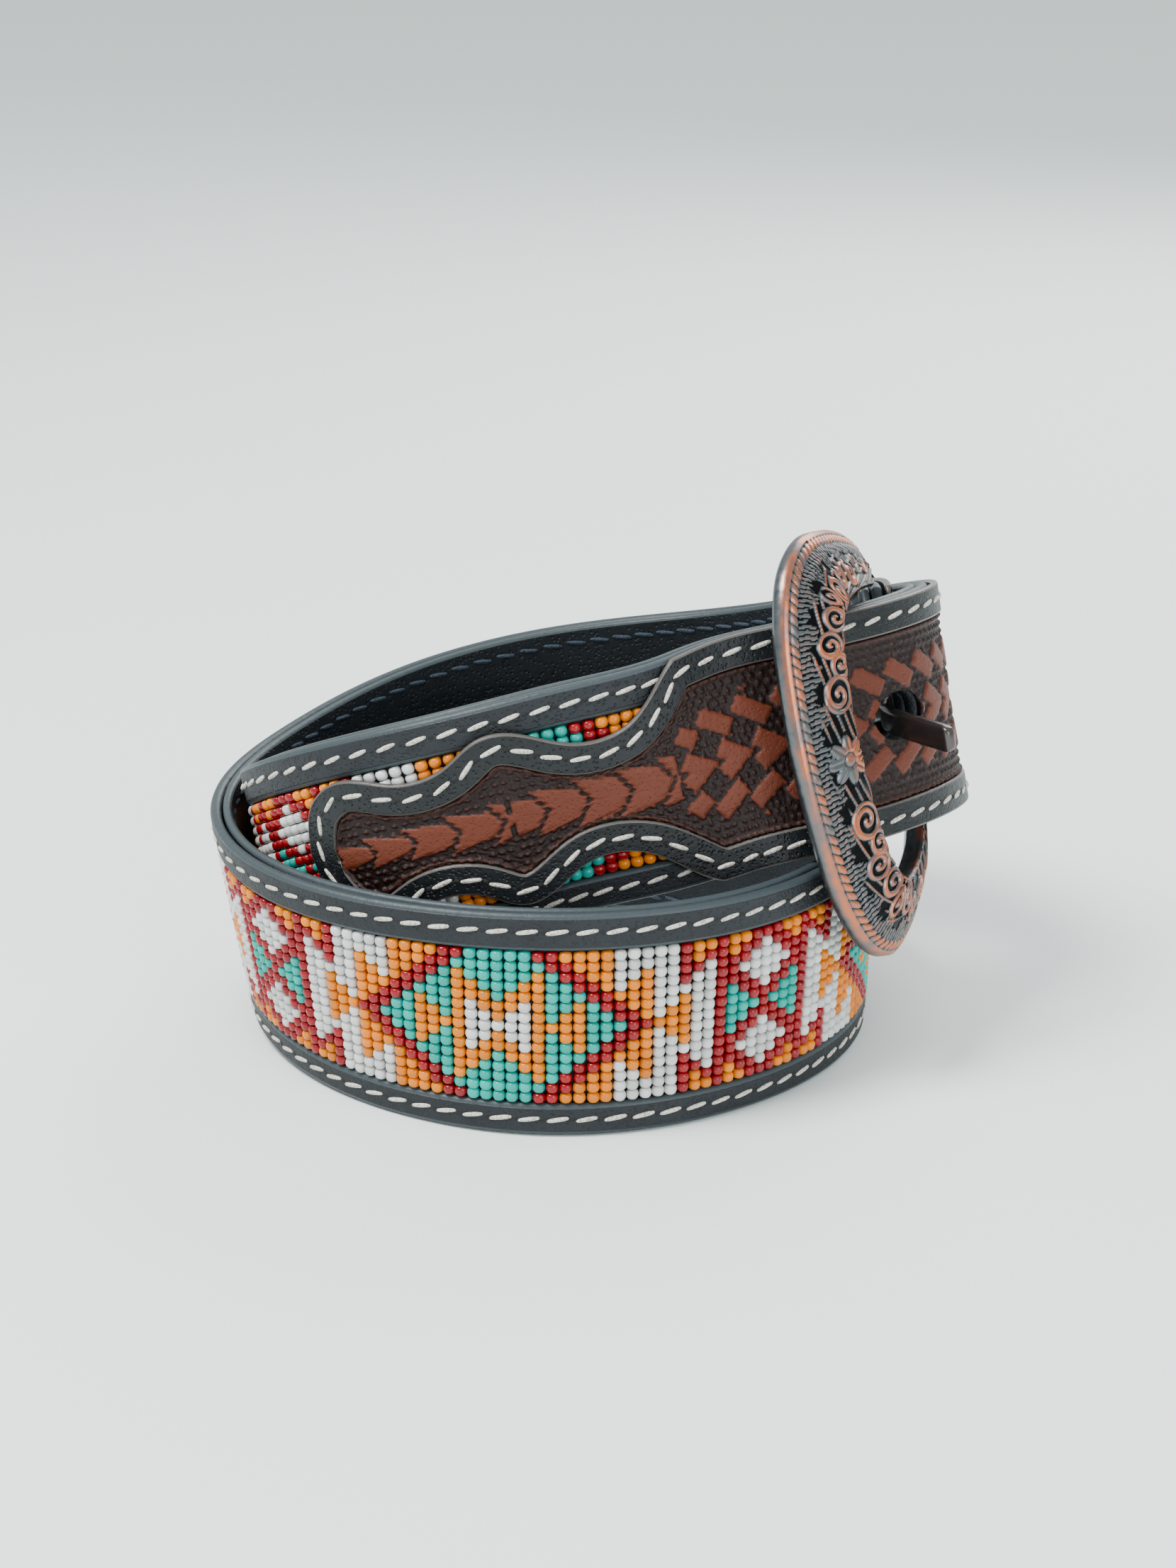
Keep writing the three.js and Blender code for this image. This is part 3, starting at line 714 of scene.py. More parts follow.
def rounded_ring(rows: int, corner: float, thick: float) -> list[tuple[float, float, float, float]]:
    """Section of a ply with rounded edges.

    Args:
        rows: points across each face.
        corner: radius of its corners, in millimetres.
        thick: its thickness.

    Returns:
        Share across, step from that edge, height, and 1 on the painted edge, for each point.
    """
    shares = [0.0, 0.015, *np.linspace(0.06, 0.94, rows), 0.985, 1.0]
    bottom = [(t, corner * (1 - 2 * t), 0.0, 0.0) for t in shares]
    top = [(t, corner * (1 - 2 * t), thick, 0.0) for t in reversed(shares)]
    arcs = [math.radians(a) for a in (-75, -45, -15, 15, 45, 75)]
    ends = []
    for t, sign in ((1.0, 1), (0.0, -1)):
        arc = []
        for a in arcs:
            middle = corner if a < 0 else thick - corner
            arc.append((t, sign * corner * (math.cos(a) - 1), middle + corner * math.sin(a), 1.0))
        ends.append(arc if sign > 0 else arc[::-1])
    return bottom + ends[0] + top + ends[1]


@dataclass
class Plies:
    """The strap's two plies: full lining, and outer ply open along the bead window."""

    path: StrapPath
    step: float = 1.4
    end_gap: float = 0.3
    lining_corner: float = 0.7
    face_corner: float = 0.9

    def sheet(self, start: float, end: float, low: Callable, high: Callable, base: float,
              thick: float, corner: float, rows: int = 6) -> Body:
        """A ply between two edges.

        Args:
            start: run where it starts, in millimetres.
            end: run where it ends.
            low: lower edge as a function of the run.
            high: upper edge as a function of the run.
            base: height of its inner face.
            thick: its thickness.
            corner: radius of its corners.
            rows: points across each face.

        Returns:
            The closed body.
        """
        u = np.linspace(start, end, max(3, round((end - start) / self.step)))
        ring = np.array(rounded_ring(rows, corner, thick))
        share, shift, height, rim = ring.T
        edge_low, edge_high = low(u)[:, None], high(u)[:, None]
        v = edge_low + (edge_high - edge_low) * share + shift
        uu = np.broadcast_to(u[:, None], v.shape)
        points = self.path.place(uu, v, base + height[None, :])
        uv = np.stack([uu, v], -1) * MM
        return loft(points, uv, {"rim": np.broadcast_to(rim, v.shape)})

    def build(self, face: bpy.types.Material, lining: bpy.types.Material) -> None:
        """Builds both plies with the billet's holes cut through them.

        Args:
            face: finish of the outer ply.
            lining: finish of the lining.
        """
        path, size = self.path, self.path.size
        full = (lambda u: -path.half_at(u), path.half_at)
        end = path.length - self.end_gap
        inner = self.sheet(size.ply_start, end, *full, size.lining_low, size.lining,
                           self.lining_corner, 9)
        piece = make_object("lining", [inner], lining)
        cut_holes(piece, path)
        finished(piece, ("strap_lining",))
        upper = size.half - size.top_margin
        lower = -size.half + size.bottom_margin
        ply = (size.face_low, size.face, self.face_corner)
        bodies = [
            self.sheet(size.ply_start, size.window_start, *full, *ply, 9),
            self.sheet(size.window_start, path.window_end, full[0], lambda u: lower + 0 * u, *ply),
            self.sheet(size.window_start, path.window_end, lambda u: upper + 0 * u, full[1], *ply),
            self.sheet(path.window_end, end, *full, *ply, 9),
        ]
        piece = make_object("outer_ply", bodies, face)
        cut_holes(piece, path)
        finished(piece, ("strap_face",))


def cut_holes(piece: bpy.types.Object, path: StrapPath) -> None:
    """Cuts the billet's oval holes through a piece with a Boolean.

    Args:
        piece: the piece to cut.
        path: the strap's route.
    """
    size = path.size
    sides = 28
    inside, outside = -5.0, 6.0
    bodies = []
    for k in range(size.hole_count):
        middle = path.prong + k * size.hole_pitch
        turn = np.linspace(0, 2 * math.pi, sides, endpoint=False)
        u = middle + size.hole_length / 2 * np.cos(turn)
        v = size.hole_width / 2 * np.sin(turn)
        rings = np.stack([path.place(u, v, np.full(sides, n)) for n in (inside, outside)])
        bodies.append(loft(rings, np.zeros((2, sides, 2)), {"rim": np.ones((2, sides))}))
    cutter = make_object("cutter", bodies, piece.data.materials[0])
    cut = piece.modifiers.new("holes", "BOOLEAN")
    cut.operation = "DIFFERENCE"
    cut.solver = "EXACT"
    cut.use_self = True
    cut.object = cutter
    graph = bpy.context.evaluated_depsgraph_get()
    mesh = bpy.data.meshes.new_from_object(piece.evaluated_get(graph))
    piece.modifiers.remove(cut)
    piece.data = mesh
    bpy.data.objects.remove(cutter)


@dataclass(frozen=True)
class Repeated:
    """A small shape set on many points by Geometry Nodes and kept as a plain mesh.

    Its size is in millimetres, square says how blunt its ends are, and the rest are its facets.
    """

    name: str
    size: tuple[float, float, float]
    square: float
    segments: int
    rings: int

    def tree(self, material: bpy.types.Material) -> bpy.types.NodeTree:
        """The node tree: instances on points, turned by their stored axes.

        Args:
            material: finish of the shapes.

        Returns:
            The tree, with its sizes as named inputs.
        """
        tree = bpy.data.node_groups.new(self.name, "GeometryNodeTree")
        face = tree.interface
        face.new_socket("Geometry", in_out="INPUT", socket_type="NodeSocketGeometry")
        face.new_socket("Size", in_out="INPUT", socket_type="NodeSocketVector")
        face.new_socket("Unevenness", in_out="INPUT", socket_type="NodeSocketFloat")
        face.new_socket("Geometry", in_out="OUTPUT", socket_type="NodeSocketGeometry")

        def node(kind: str, settings: dict[str, object], inputs: dict[object, object]) -> bpy.types.Node:
            """A node of this type: settings first, then inputs."""
            made = tree.nodes.new(kind)
            for name, value in settings.items():
                setattr(made, name, value)
            for name, value in inputs.items():
                if isinstance(value, bpy.types.NodeSocket):
                    tree.links.new(value, made.inputs[name])
                else:
                    made.inputs[name].default_value = value
            return made

        source = node("NodeGroupInput", {}, {})
        sphere = node("GeometryNodeMeshUVSphere", {},
                      {"Segments": self.segments, "Rings": self.rings, "Radius": 0.5})
        place = node("GeometryNodeInputPosition", {}, {})
        flat = node("ShaderNodeVectorMath", {"operation": "MULTIPLY"}, {0: place.outputs[0], 1: (1, 1, 0)})
        reach = node("ShaderNodeVectorMath", {"operation": "LENGTH"}, {0: flat.outputs[0]})
        kept = node("ShaderNodeMath", {"operation": "MAXIMUM"}, {0: reach.outputs["Value"], 1: 0.02})
        doubled = node("ShaderNodeMath", {"operation": "MULTIPLY"}, {0: kept.outputs[0], 1: 2.0})
        power = node("ShaderNodeMath", {"operation": "POWER"}, {0: doubled.outputs[0], 1: -self.square})
        wide = node("ShaderNodeCombineXYZ", {}, {0: power.outputs[0], 1: power.outputs[0], 2: 1.0})
        barrel = node("ShaderNodeVectorMath", {"operation": "MULTIPLY"},
                      {0: place.outputs[0], 1: wide.outputs[0]})
        sized = node("ShaderNodeVectorMath", {"operation": "MULTIPLY"},
                     {0: barrel.outputs[0], 1: source.outputs["Size"]})
        shaped = node("GeometryNodeSetPosition", {},
                      {"Geometry": sphere.outputs[0], "Position": sized.outputs[0]})
        smooth = node("GeometryNodeSetShadeSmooth", {}, {"Geometry": shaped.outputs[0]})
        axis = node("GeometryNodeInputNamedAttribute", {"data_type": "FLOAT_VECTOR"}, {"Name": "axis"})
        out = node("GeometryNodeInputNamedAttribute", {"data_type": "FLOAT_VECTOR"}, {"Name": "out"})
        turn = node("FunctionNodeAxesToRotation", {"primary_axis": "Z", "secondary_axis": "X"},
                    {0: axis.outputs[0], 1: out.outputs[0]})
        most = node("ShaderNodeMath", {"operation": "ADD"}, {0: 1.0, 1: source.outputs["Unevenness"]})
        least = node("ShaderNodeMath", {"operation": "SUBTRACT"}, {0: 1.0, 1: source.outputs["Unevenness"]})
        uneven = node("FunctionNodeRandomValue", {"data_type": "FLOAT"},
                      {2: least.outputs[0], 3: most.outputs[0], "Seed": 11})
        spread = node("GeometryNodeInstanceOnPoints", {}, {
            "Points": source.outputs["Geometry"], "Instance": smooth.outputs[0],
            "Rotation": turn.outputs[0], "Scale": uneven.outputs[1],
        })
        tint = node("FunctionNodeRandomValue", {"data_type": "FLOAT"}, {2: 0.3, 3: 1.0, "Seed": 5})
        stored = node("GeometryNodeStoreNamedAttribute", {"data_type": "FLOAT", "domain": "INSTANCE"},
                      {"Geometry": spread.outputs[0], "Name": "tint", "Value": tint.outputs[1]})
        real = node("GeometryNodeRealizeInstances", {}, {"Geometry": stored.outputs[0]})
        dressed = node("GeometryNodeSetMaterial", {}, {"Geometry": real.outputs[0], "Material": material})
        node("NodeGroupOutput", {}, {0: dressed.outputs[0]})
        return tree

    def spread(self, name: str, points: np.ndarray, axis: np.ndarray, out: np.ndarray,
               material: bpy.types.Material, unevenness: float) -> bpy.types.Object:
        """A plain mesh object with the shape on every point.

        Args:
            name: name of the piece.
            points: where the shapes lie, in metres.
            axis: direction of each shape's length.
            out: direction that each shape faces.
            material: its finish.
            unevenness: how far the sizes stray, as a share.

        Returns:
            The piece.
        """
        mesh = bpy.data.meshes.new(name)
        mesh.from_pydata(points.tolist(), [], [])
        for mark, values in (("axis", axis), ("out", out)):
            attribute = mesh.attributes.new(mark, "FLOAT_VECTOR", "POINT")
            attribute.data.foreach_set("vector", values.ravel().astype(np.float32))
        piece = bpy.data.objects.new(name, mesh)
        bpy.context.scene.collection.objects.link(piece)
        tree = self.tree(material)
        modifier = piece.modifiers.new("shapes", "NODES")
        modifier.node_group = tree
        sockets = {item.name: item.identifier for item in tree.interface.items_tree
                   if item.in_out == "INPUT"}
        modifier[sockets["Size"]] = [value * MM for value in self.size]
        modifier[sockets["Unevenness"]] = unevenness
        graph = bpy.context.evaluated_depsgraph_get()
        plain = bpy.data.meshes.new_from_object(piece.evaluated_get(graph))
        piece.modifiers.remove(modifier)
        piece.data = plain
        if not plain.materials:
            plain.materials.append(material)
        return piece


class Glass(Enum):
    """Bead colours of the chart, with their screen colour and lustre."""

    O = ("orange", "E07C00", 0.1)
    W = ("white", "D2D3D0", 0.8)
    T = ("turquoise", "08A79A", 0.1)
    R = ("red", "90000E", 0.3)


@dataclass
class BeadBand:
    """Woven seed beads in the window, column by column, over a backing sheet coloured with near-black
    painted shade for the gaps between them.

    The chart's first column lies before the middle of the front. Past the hidden stretch of the
    roll the chart goes on some columns further.
    """

    path: StrapPath
    column: float = 2.11
    before_front: float = 9.6
    bead: tuple[float, float, float] = (2.1, 2.16, 1.74)
    hidden_from: float = 400.0
    hidden_columns: int = 15
    edge_gap: float = 0.1
    end_gap: float = 1.2
    scatter: float = 0.035
    backing: float = 0.5

    def build(self, backing: bpy.types.Material, plies: Plies) -> None:
        """Builds the backing and one piece of beads for each colour.

        Args:
            backing: finish of the sheet behind the beads, a near-black painted shade for the gaps between
                them.
            plies: the maker of the strap's sheets.
        """
        path, size = self.path, self.path.size
        low = -size.half + size.bottom_margin + self.edge_gap
        high = size.half - size.top_margin - self.edge_gap
        # The sheet behind the beads takes the near-black painted shade, for the shade in the gaps between
        # them.
        back = plies.sheet(size.window_start + 0.4, path.window_end - 0.4, lambda u: low + 0 * u,
                           lambda u: high + 0 * u, size.face_low + 0.05, self.backing, 0.2)
        finished(make_object("bead_backing", [back], backing))
        rows = len(CHART[0])
        pitch = (high - low) / rows
        start = path.run_at(270) - self.before_front
        count = int((path.window_end - size.window_start) / self.column)
        first_column = -int((start - size.window_start - 1) / self.column)
        repeat = 2 * (len(CHART) - 1)
        placed = {glass: [] for glass in Glass}
        for column in range(first_column, first_column + count):
            u = start + column * self.column
            turn = (column + (self.hidden_columns if u > self.hidden_from else 0)) % repeat
            letters = CHART[min(turn, repeat - turn)]
            for row, letter in enumerate(letters):
                if u < path.window_end - self.end_gap:
                    placed[Glass[letter]].append((u, high - (row + 0.5) * pitch))
        radius = self.bead[0] / 2
        top = size.face_high + size.bead_proud
        for glass, spots in placed.items():
            name, colour, lustre = glass.value
            where = np.array(spots)
            rng = np.random.default_rng(7)
            where = where + rng.normal(0, self.scatter, where.shape)
            _, across, out = path.axes(where[:, 0])
            points = path.place(where[:, 0], where[:, 1], np.full(len(where), top - radius))
            shape = Repeated(f"bead {name}", self.bead, 0.55, 10, 6)
            finish = BeadFinish(f"{name} glass bead", colour, lustre).build()
            piece = shape.spread(f"beads_{name}", points, across, out, finish, 0.03)
            nodes = ("bead_panel",) if glass is Glass.O else ()
            finished(piece, nodes)


@dataclass
class Stitching:
    """Rows of stitches laid along lines on the leather, with near-black spots of painted shade sunk into
    the stitch holes between them.
    """

    path: StrapPath
    pitch: float = 4.5
    stitch: tuple[float, float, float] = (0.62, 0.8, 3.7)
    # Size of the near-black spots of painted shade sunk into the stitch holes.
    pit: tuple[float, float, float] = (0.32, 1.05, 1.15)
    reach: float = 1.6
    slant: float = 0.16

    def along(self, name: str, lines: list[np.ndarray], height: float, thread: bpy.types.Material,
              pit: bpy.types.Material | None, slot: str, inside: bool = False) -> None:
        """Sews along lines.

        Args:
            name: name of the piece.
            lines: lines of belt coordinates u and v.
            height: height of the leather's face over the middle of the plies.
            thread: finish of the stitches.
            pit: finish of the painted shade sunk into the stitch holes, or None for none.
            slot: not used.
            inside: True on a face that looks into the roll.
        """
        spots, gaps = [], []
        for line in lines:
            steps = np.linalg.norm(np.diff(line, axis=0), axis=1)
            run = np.concatenate([[0], np.cumsum(steps)])
            count = max(1, int(run[-1] / self.pitch))
            for k in range(count):
                at = (k + 0.5) * run[-1] / count
                near = [
                    [np.interp(at + d, run, line[:, c]) for c in (0, 1)]
                    for d in (-self.reach, 0, self.reach)
                ]
                spots.append([*near[1], near[2][0] - near[0][0], near[2][1] - near[0][1]])
                end = k * run[-1] / count
                gaps.append([np.interp(end, run, line[:, c]) for c in (0, 1)] + spots[-1][2:])
        for title, rows, material, shape, lift in (
            (name, spots, thread, Repeated(name, self.stitch, 0.4, 8, 6), 0.02),
            # Near-black spots sunk into the stitch holes: painted shade of the holes.
            (f"{name}_hole_shade", gaps, pit, Repeated(f"{name} hole_shade", self.pit, 0.2, 8, 5), -0.08),
        ):
            if material is None:
                continue
            table = np.array(rows)
            along, across, out = self.path.axes(table[:, 0])
            direction = unit(along * table[:, 2:3] + across * table[:, 3:4])
            side = np.cross(out, direction)
            slant = self.slant if material is thread else 0.0
            direction = unit(direction + side * slant)
            sign = -1 if inside else 1
            points = self.path.place(table[:, 0], table[:, 1], np.full(len(table), height + sign * lift))
            finished(shape.spread(title, points, direction, out * sign, material, 0.04))


@dataclass(frozen=True)
class Tooling:
    """Sizes of the stamped work on the brown panels, in millimetres and degrees."""

    pebble: float = 1.62
    row_share: float = 0.87
    weave_lean: float = 34
    bar_high: float = 3.7
    bar_long: float = 7.2
    link: float = 3.5
    hatch: float = 1.05
    arrow_pitch: float = 6.9
    arrow_slope: float = 0.72
    narrow: float = 9.2
    weave_room: float = 3.7
    depth: float = 0.6
    ground: float = 0.32
    welt: float = 0.3
    welt_room: float = 0.45

    def pebbles(self, u: np.ndarray, v: np.ndarray) -> np.ndarray:
        """Height of the pebble stamps.

        Args:
            u: run along the strap.
            v: place across it.

        Returns:
            The height, as a share of the tooling's depth.
        """
        row = np.floor(v / (self.pebble * self.row_share))
        column = u / self.pebble + 0.5 * (row % 2)
        wobble = 0.16 * np.sin(row * 12.9 + np.floor(column) * 4.1)
        from_u = column - np.floor(column) - 0.5 + wobble
        from_v = v / (self.pebble * self.row_share) - row - 0.5
        ring = np.hypot(from_u, from_v)
        return 0.5 * np.exp(-(ring / 0.24) ** 4) - 0.3 * np.exp(-((ring - 0.44) / 0.12) ** 2)

    def weave(self, u: np.ndarray, across: np.ndarray) -> tuple[np.ndarray, ...]:
        """The basketweave's bars, mirrored about the middle line.

        Args:
            u: run along the strap.
            across: distance from its middle line.

        Returns:
            Raised share, run along the bars, height within a bar, hatch, and where the hatch lies.
        """
        lean = math.radians(self.weave_lean)
        a = u * math.cos(lean) - across * math.sin(lean)
        b = u * math.sin(lean) + across * math.cos(lean)
        course = np.floor(b / self.bar_high)
        cell = self.bar_long + self.link
        q = (a + course * cell / 2) % cell
        from_top = (b / self.bar_high - course - 0.5) * self.bar_high
        ends = np.minimum(q, self.bar_long - q)
        bar = np.minimum(ends, self.bar_high / 2 - np.abs(from_top) + 0.1)
        raised = 1 / (1 + np.exp(-(bar - 0.45) * 9))
        serration = 0.12 * np.sin(from_top * 9)
        raised = raised * (1 - 0.2 * np.exp(-((bar - 0.15 + serration) / 0.2) ** 2))
        hatch = 0.22 * (np.sin((q - self.bar_long + from_top) * 2 * math.pi / self.hatch) > 0)
        in_link = (q > self.bar_long + 0.4) & (q < cell - 0.4)
        return raised, a, from_top, hatch, in_link

    def arrows(self, u: np.ndarray, across: np.ndarray, tip: float) -> np.ndarray:
        """The row of arrows that point along the strap.

        Args:
            u: run along the strap.
            across: distance from its middle line.
            tip: run of the overlay's point, from which they widen.

        Returns:
            The raised share.
        """
        m = (u + self.arrow_slope * across) % self.arrow_pitch
        wing = np.clip(2.5 + (np.abs(u - tip) - 6) * 0.045, 2.5, 4.4) - 0.22 * m
        arrow = np.minimum(np.minimum(m - 0.4, self.arrow_pitch - 0.2 - m), wing - across)
        arrow = arrow + 0.18 * np.sin(across * 7 + u * 2)
        return 1 / (1 + np.exp(-(arrow - 0.1) * 7))

    def worked(self, u: np.ndarray, v: np.ndarray, room: np.ndarray,
               tip: float) -> tuple[np.ndarray, np.ndarray]:
        """The whole tooling.

        Args:
            u: run along the strap.
            v: place across it.
            room: distance to the panel's edge.
            tip: run of the overlay's point.

        Returns:
            Height from 0 to 1, and how far the colour is the raised one.
        """
        across = np.abs(v)
        stamp = self.pebbles(u, v)
        weave, a, from_top, hatch, in_link = self.weave(u, across)
        chevron = self.arrows(u, across, tip)
        narrow = room + across < self.narrow
        inner = 1 / (1 + np.exp(-(room - self.weave_room + 0.6 * np.sin(a * 1.7)) * 5))
        raised = np.where(narrow, chevron, weave) * np.where(narrow, 1, inner)
        linked = np.where(in_link & (room > 4), hatch + 0.1, 0.25)
        ground = stamp + np.where(narrow, 0.25, linked)
        height = ground * (1 - raised) + raised * (0.92 + 0.04 * np.cos(from_top * 1.2))
        share = 0.12 + 0.7 * np.clip(stamp, -0.1, 1) + 0.9 * raised
        return height, share


@dataclass
class Overlay:
    """Scalloped border and tooled panel over one end of the strap."""

    path: StrapPath
    name: str
    tip: float
    end: float
    tools: Tooling = Tooling()
    steps: int = 420
    border_corner: float = 0.42
    panel_step: float = 0.31
    panel_rows: int = 88
    panel_gap: float = 0.12

    def __post_init__(self) -> None:
        """Works out the outline and the opening from the scalloped point to the other end."""
        self.sign = 1 if self.end > self.tip else -1
        self.open_at_end = self.sign < 0
        self.has_holes = self.sign > 0
        self.reach = np.linspace(0, abs(self.end - self.tip), self.steps)
        self.outer = self.outline(self.reach)
        self.inner = self.opening()

    def belt(self, distance: np.ndarray) -> np.ndarray:
        """Belt coordinate u at a distance from the scalloped point."""
        return self.tip + self.sign * distance

    def outline(self, distance: np.ndarray) -> np.ndarray:
        """Half width of the overlay.

        Args:
            distance: distances from the scalloped point.

        Returns:
            The half width there.
        """
        size = self.path.size
        shares = np.array(SCALLOPS)
        knots, halves = shares[:, 0] * size.scallops, shares[:, 1] * size.half
        table = np.linspace(0, size.scallops, 300)
        smooth = natural_spline(knots, halves)(table)
        half = np.where(distance < size.scallops, np.interp(distance, table, smooth), size.half)
        half = np.minimum(half, size.half)
        return np.minimum(half, self.path.half_at(self.belt(distance)))

    def opening(self) -> np.ndarray:
        """Half width of the opening.

        Returns:
            The outline set in by the border's width, at every step of the reach.
        """
        width = self.path.size.border_width
        shifts = np.linspace(-width, width, 31)
        at = self.reach[:, None] + shifts
        edge = self.outline(np.clip(at, 0, self.reach[-1]))
        beyond = (at < 0) | ((at > self.reach[-1]) & (not self.open_at_end))
        edge = np.where(beyond, -width, edge)
        return (edge - np.sqrt(width ** 2 - shifts ** 2)).min(1)

    def border(self, leather: bpy.types.Material) -> None:
        """Builds the border as a sweep round the outline."""
        size = self.path.size
        outline = np.stack([self.reach, self.outer], -1)
        held = self.reach[self.inner > 0.05]
        inner = np.stack([np.clip(self.reach, held[0], held[-1]), np.maximum(self.inner, 0)], -1)
        mirrored = np.array([1, -1])
        tip = np.linspace(-1, 1, 7)[1:-1, None] * np.array([0, self.outer[0]])
        outer_line = np.concatenate([(outline * mirrored)[::-1], tip, outline])
        point = np.repeat([[held[0], 0.0]], len(tip), 0)
        inner_line = np.concatenate([(inner * mirrored)[::-1], point, inner])
        ring = np.array(rounded_ring(4, self.border_corner, size.border_thick))
        share, shift, height, rim = ring.T
        gap = inner_line - outer_line
        length = np.maximum(np.linalg.norm(gap, axis=1, keepdims=True), 0.9)
        part = share + shift / length
        where = outer_line[:, None, :] + gap[:, None, :] * part[..., None]
        u = self.belt(where[..., 0])
        points = self.path.place(u, where[..., 1], size.overlay_low + height[None, :])
        uv = np.stack([u, where[..., 1]], -1) * MM
        loop = not self.open_at_end
        body = loft(points, uv, {"rim": np.broadcast_to(rim, part.shape)}, loop)
        piece = make_object(f"{self.name}_border_leather", [body], leather)
        finished(piece, (f"{self.name}_border",))

    def panel(self, leather: bpy.types.Material) -> None:
        """Builds the tooled panel as a fine sheet with a worked upper face."""
        size, path, tools = self.path.size, self.path, self.tools
        held = self.reach[self.inner > 1.0]
        distance = np.linspace(held[0], held[-1], int((held[-1] - held[0]) / self.panel_step))
        half = np.interp(distance, self.reach, self.inner) - self.panel_gap
        share = np.linspace(-1, 1, self.panel_rows)
        under = np.linspace(1, -1, 8)
        v = half[:, None] * share
        u = np.broadcast_to(self.belt(distance)[:, None], v.shape)
        room = half[:, None] - np.abs(v)
        if not self.open_at_end:
            room = np.minimum(room, (held[-1] - distance)[:, None])
        height, tone = tools.worked(u, v, room, self.tip)
        welt = np.exp(-((room - tools.welt_room) / tools.welt) ** 2)
        top = size.overlay_low + tools.ground + tools.depth * height + tools.welt * welt
        below = half[:, None] * under
        points = np.concatenate([
            path.place(u, v, top),
            path.place(u[:, :1] + 0 * below, below, size.overlay_low),
        ], 1)
        across = np.concatenate([v, below], 1)
        uv = np.stack([u[:, :1] + 0 * across, across], -1) * MM
        marks = {
            "tool": np.concatenate([tone, 0 * below], 1),
            "rim": np.concatenate([welt, 0 * below], 1),
        }
        body = loft(points, uv, marks)
        piece = make_object(f"{self.name}_panel_leather", [body], leather)
        if self.has_holes:
            cut_holes(piece, path)
        finished(piece, (f"{self.name}_panel",))

    def stitch_line(self, inset: float) -> np.ndarray:
        """Line for the stitches round the point.

        Args:
            inset: distance inside the outline.

        Returns:
            Belt coordinates u and v along the line.
        """
        outline = np.stack([self.reach, self.outer], -1)
        both = np.concatenate([(outline * [1, -1])[::-1], outline])
        run = unit(np.gradient(both, axis=0))
        inward = np.stack([run[:, 1], -run[:, 0]], -1)
        line = both + inward * inset
        limit = np.interp(line[:, 0], self.reach, self.outer) - inset * 0.8
        kept = (np.abs(line[:, 1]) <= limit) & (line[:, 0] > inset * 0.7)
        kept &= line[:, 0] < self.reach[-1] - (0 if self.open_at_end else inset * 0.9)
        line = line[kept]
        return np.stack([self.belt(line[:, 0]), line[:, 1]], -1)


@dataclass(frozen=True)
class BuckleSize:
    """Sizes of the buckle, its bar and its prong, in millimetres and degrees."""

    reach: float = 45
    height: float = 70
    band: float = 13
    thick: float = 8
    arm: float = 5
    turn: float = 13
    lift: float = 1.8
    raised: float = 0.3
    bar: float = 2.2
    rope_pitch: float = 1.75
    rope_low: float = 0.75
    rope_high: float = 2.25
    hatch_pitch: float = 0.95
    carving: float = 0.55
    flower: float = 4.6
    flower_depth: float = 8.4
    flower_eye: float = 1.3
    columns: int = 620
    rows: int = 66
    prong_width: float = 4.4
    prong_thick: float = 2.0
    prong_reach: float = 16.5
    prong_lean: float = 2.4
    prong_droop: float = 3.0
    prong_approach: float = 6.0
    hoop: float = 1.6


def catmull_rom(points: np.ndarray, share: np.ndarray, centripetal: bool = False) -> np.ndarray:
    """Catmull-Rom curve.

    Args:
        points: the points that it passes through.
        share: shares of its course to read.
        centripetal: True for the kind that takes the points' distances into account.

    Returns:
        A point for each share.
    """
    at = np.clip(share, 0, 1) * (len(points) - 1)
    i = np.minimum(at.astype(int), len(points) - 2)
    t = (at - i)[:, None]
    padded = np.concatenate([[2 * points[0] - points[1]], points, [2 * points[-1] - points[-2]]])
    p0, p1, p2, p3 = (padded[i + k] for k in range(4))
    if not centripetal:
        m1, m2 = (p2 - p0) / 2, (p3 - p1) / 2
    else:
        d0, d1, d2 = (np.maximum(np.linalg.norm(q - p, axis=1, keepdims=True) ** 0.5, 1e-4)
                      for p, q in ((p0, p1), (p1, p2), (p2, p3)))
        m1 = ((p1 - p0) / d0 - (p2 - p0) / (d0 + d1) + (p2 - p1) / d1) * d1
        m2 = ((p2 - p1) / d1 - (p3 - p1) / (d1 + d2) + (p3 - p2) / d2) * d1
    return ((2 * p1 - 2 * p2 + m1 + m2) * t ** 3 + (-3 * p1 + 3 * p2 - 2 * m1 - m2) * t ** 2
            + m1 * t + p1)


def squared(wave: np.ndarray, power: float = 0.45) -> np.ndarray:
    """A sine or cosine made blunter, for a section with rounded corners."""
    return np.sign(wave) * np.abs(wave) ** power


class Scroll(NamedTuple):
    """A curl of the engraving: place along and across the band, size, turns and hand."""

    along: float
    across: float
    radius: float
    turns: float
    start: float
    hand: int


# Curls on one half of the bow, in millimetres from its middle and from the outer edge.
SCROLLS = [
    Scroll(11.5, 8.6, 2.9, 1.5, 200, 1), Scroll(16.4, 10.2, 2.2, 1.3, 20, -1),
    Scroll(20.6, 8.3, 2.6, 1.4, 150, 1), Scroll(26.5, 9.6, 2.7, 1.5, 320, -1),
    Scroll(32.5, 8.0, 2.5, 1.4, 120, 1), Scroll(38.5, 9.2, 2.4, 1.5, 300, -1),
    Scroll(45, 7.6, 2.3, 1.4, 100, 1), Scroll(51.5, 8.4, 2.2, 1.4, 280, -1),
    Scroll(58, 6.6, 2.1, 1.4, 90, 1), Scroll(65, 6.9, 2.0, 1.3, 260, -1),
    Scroll(72, 5.6, 1.8, 1.3, 80, 1), Scroll(79, 5.8, 1.6, 1.2, 250, -1),
]


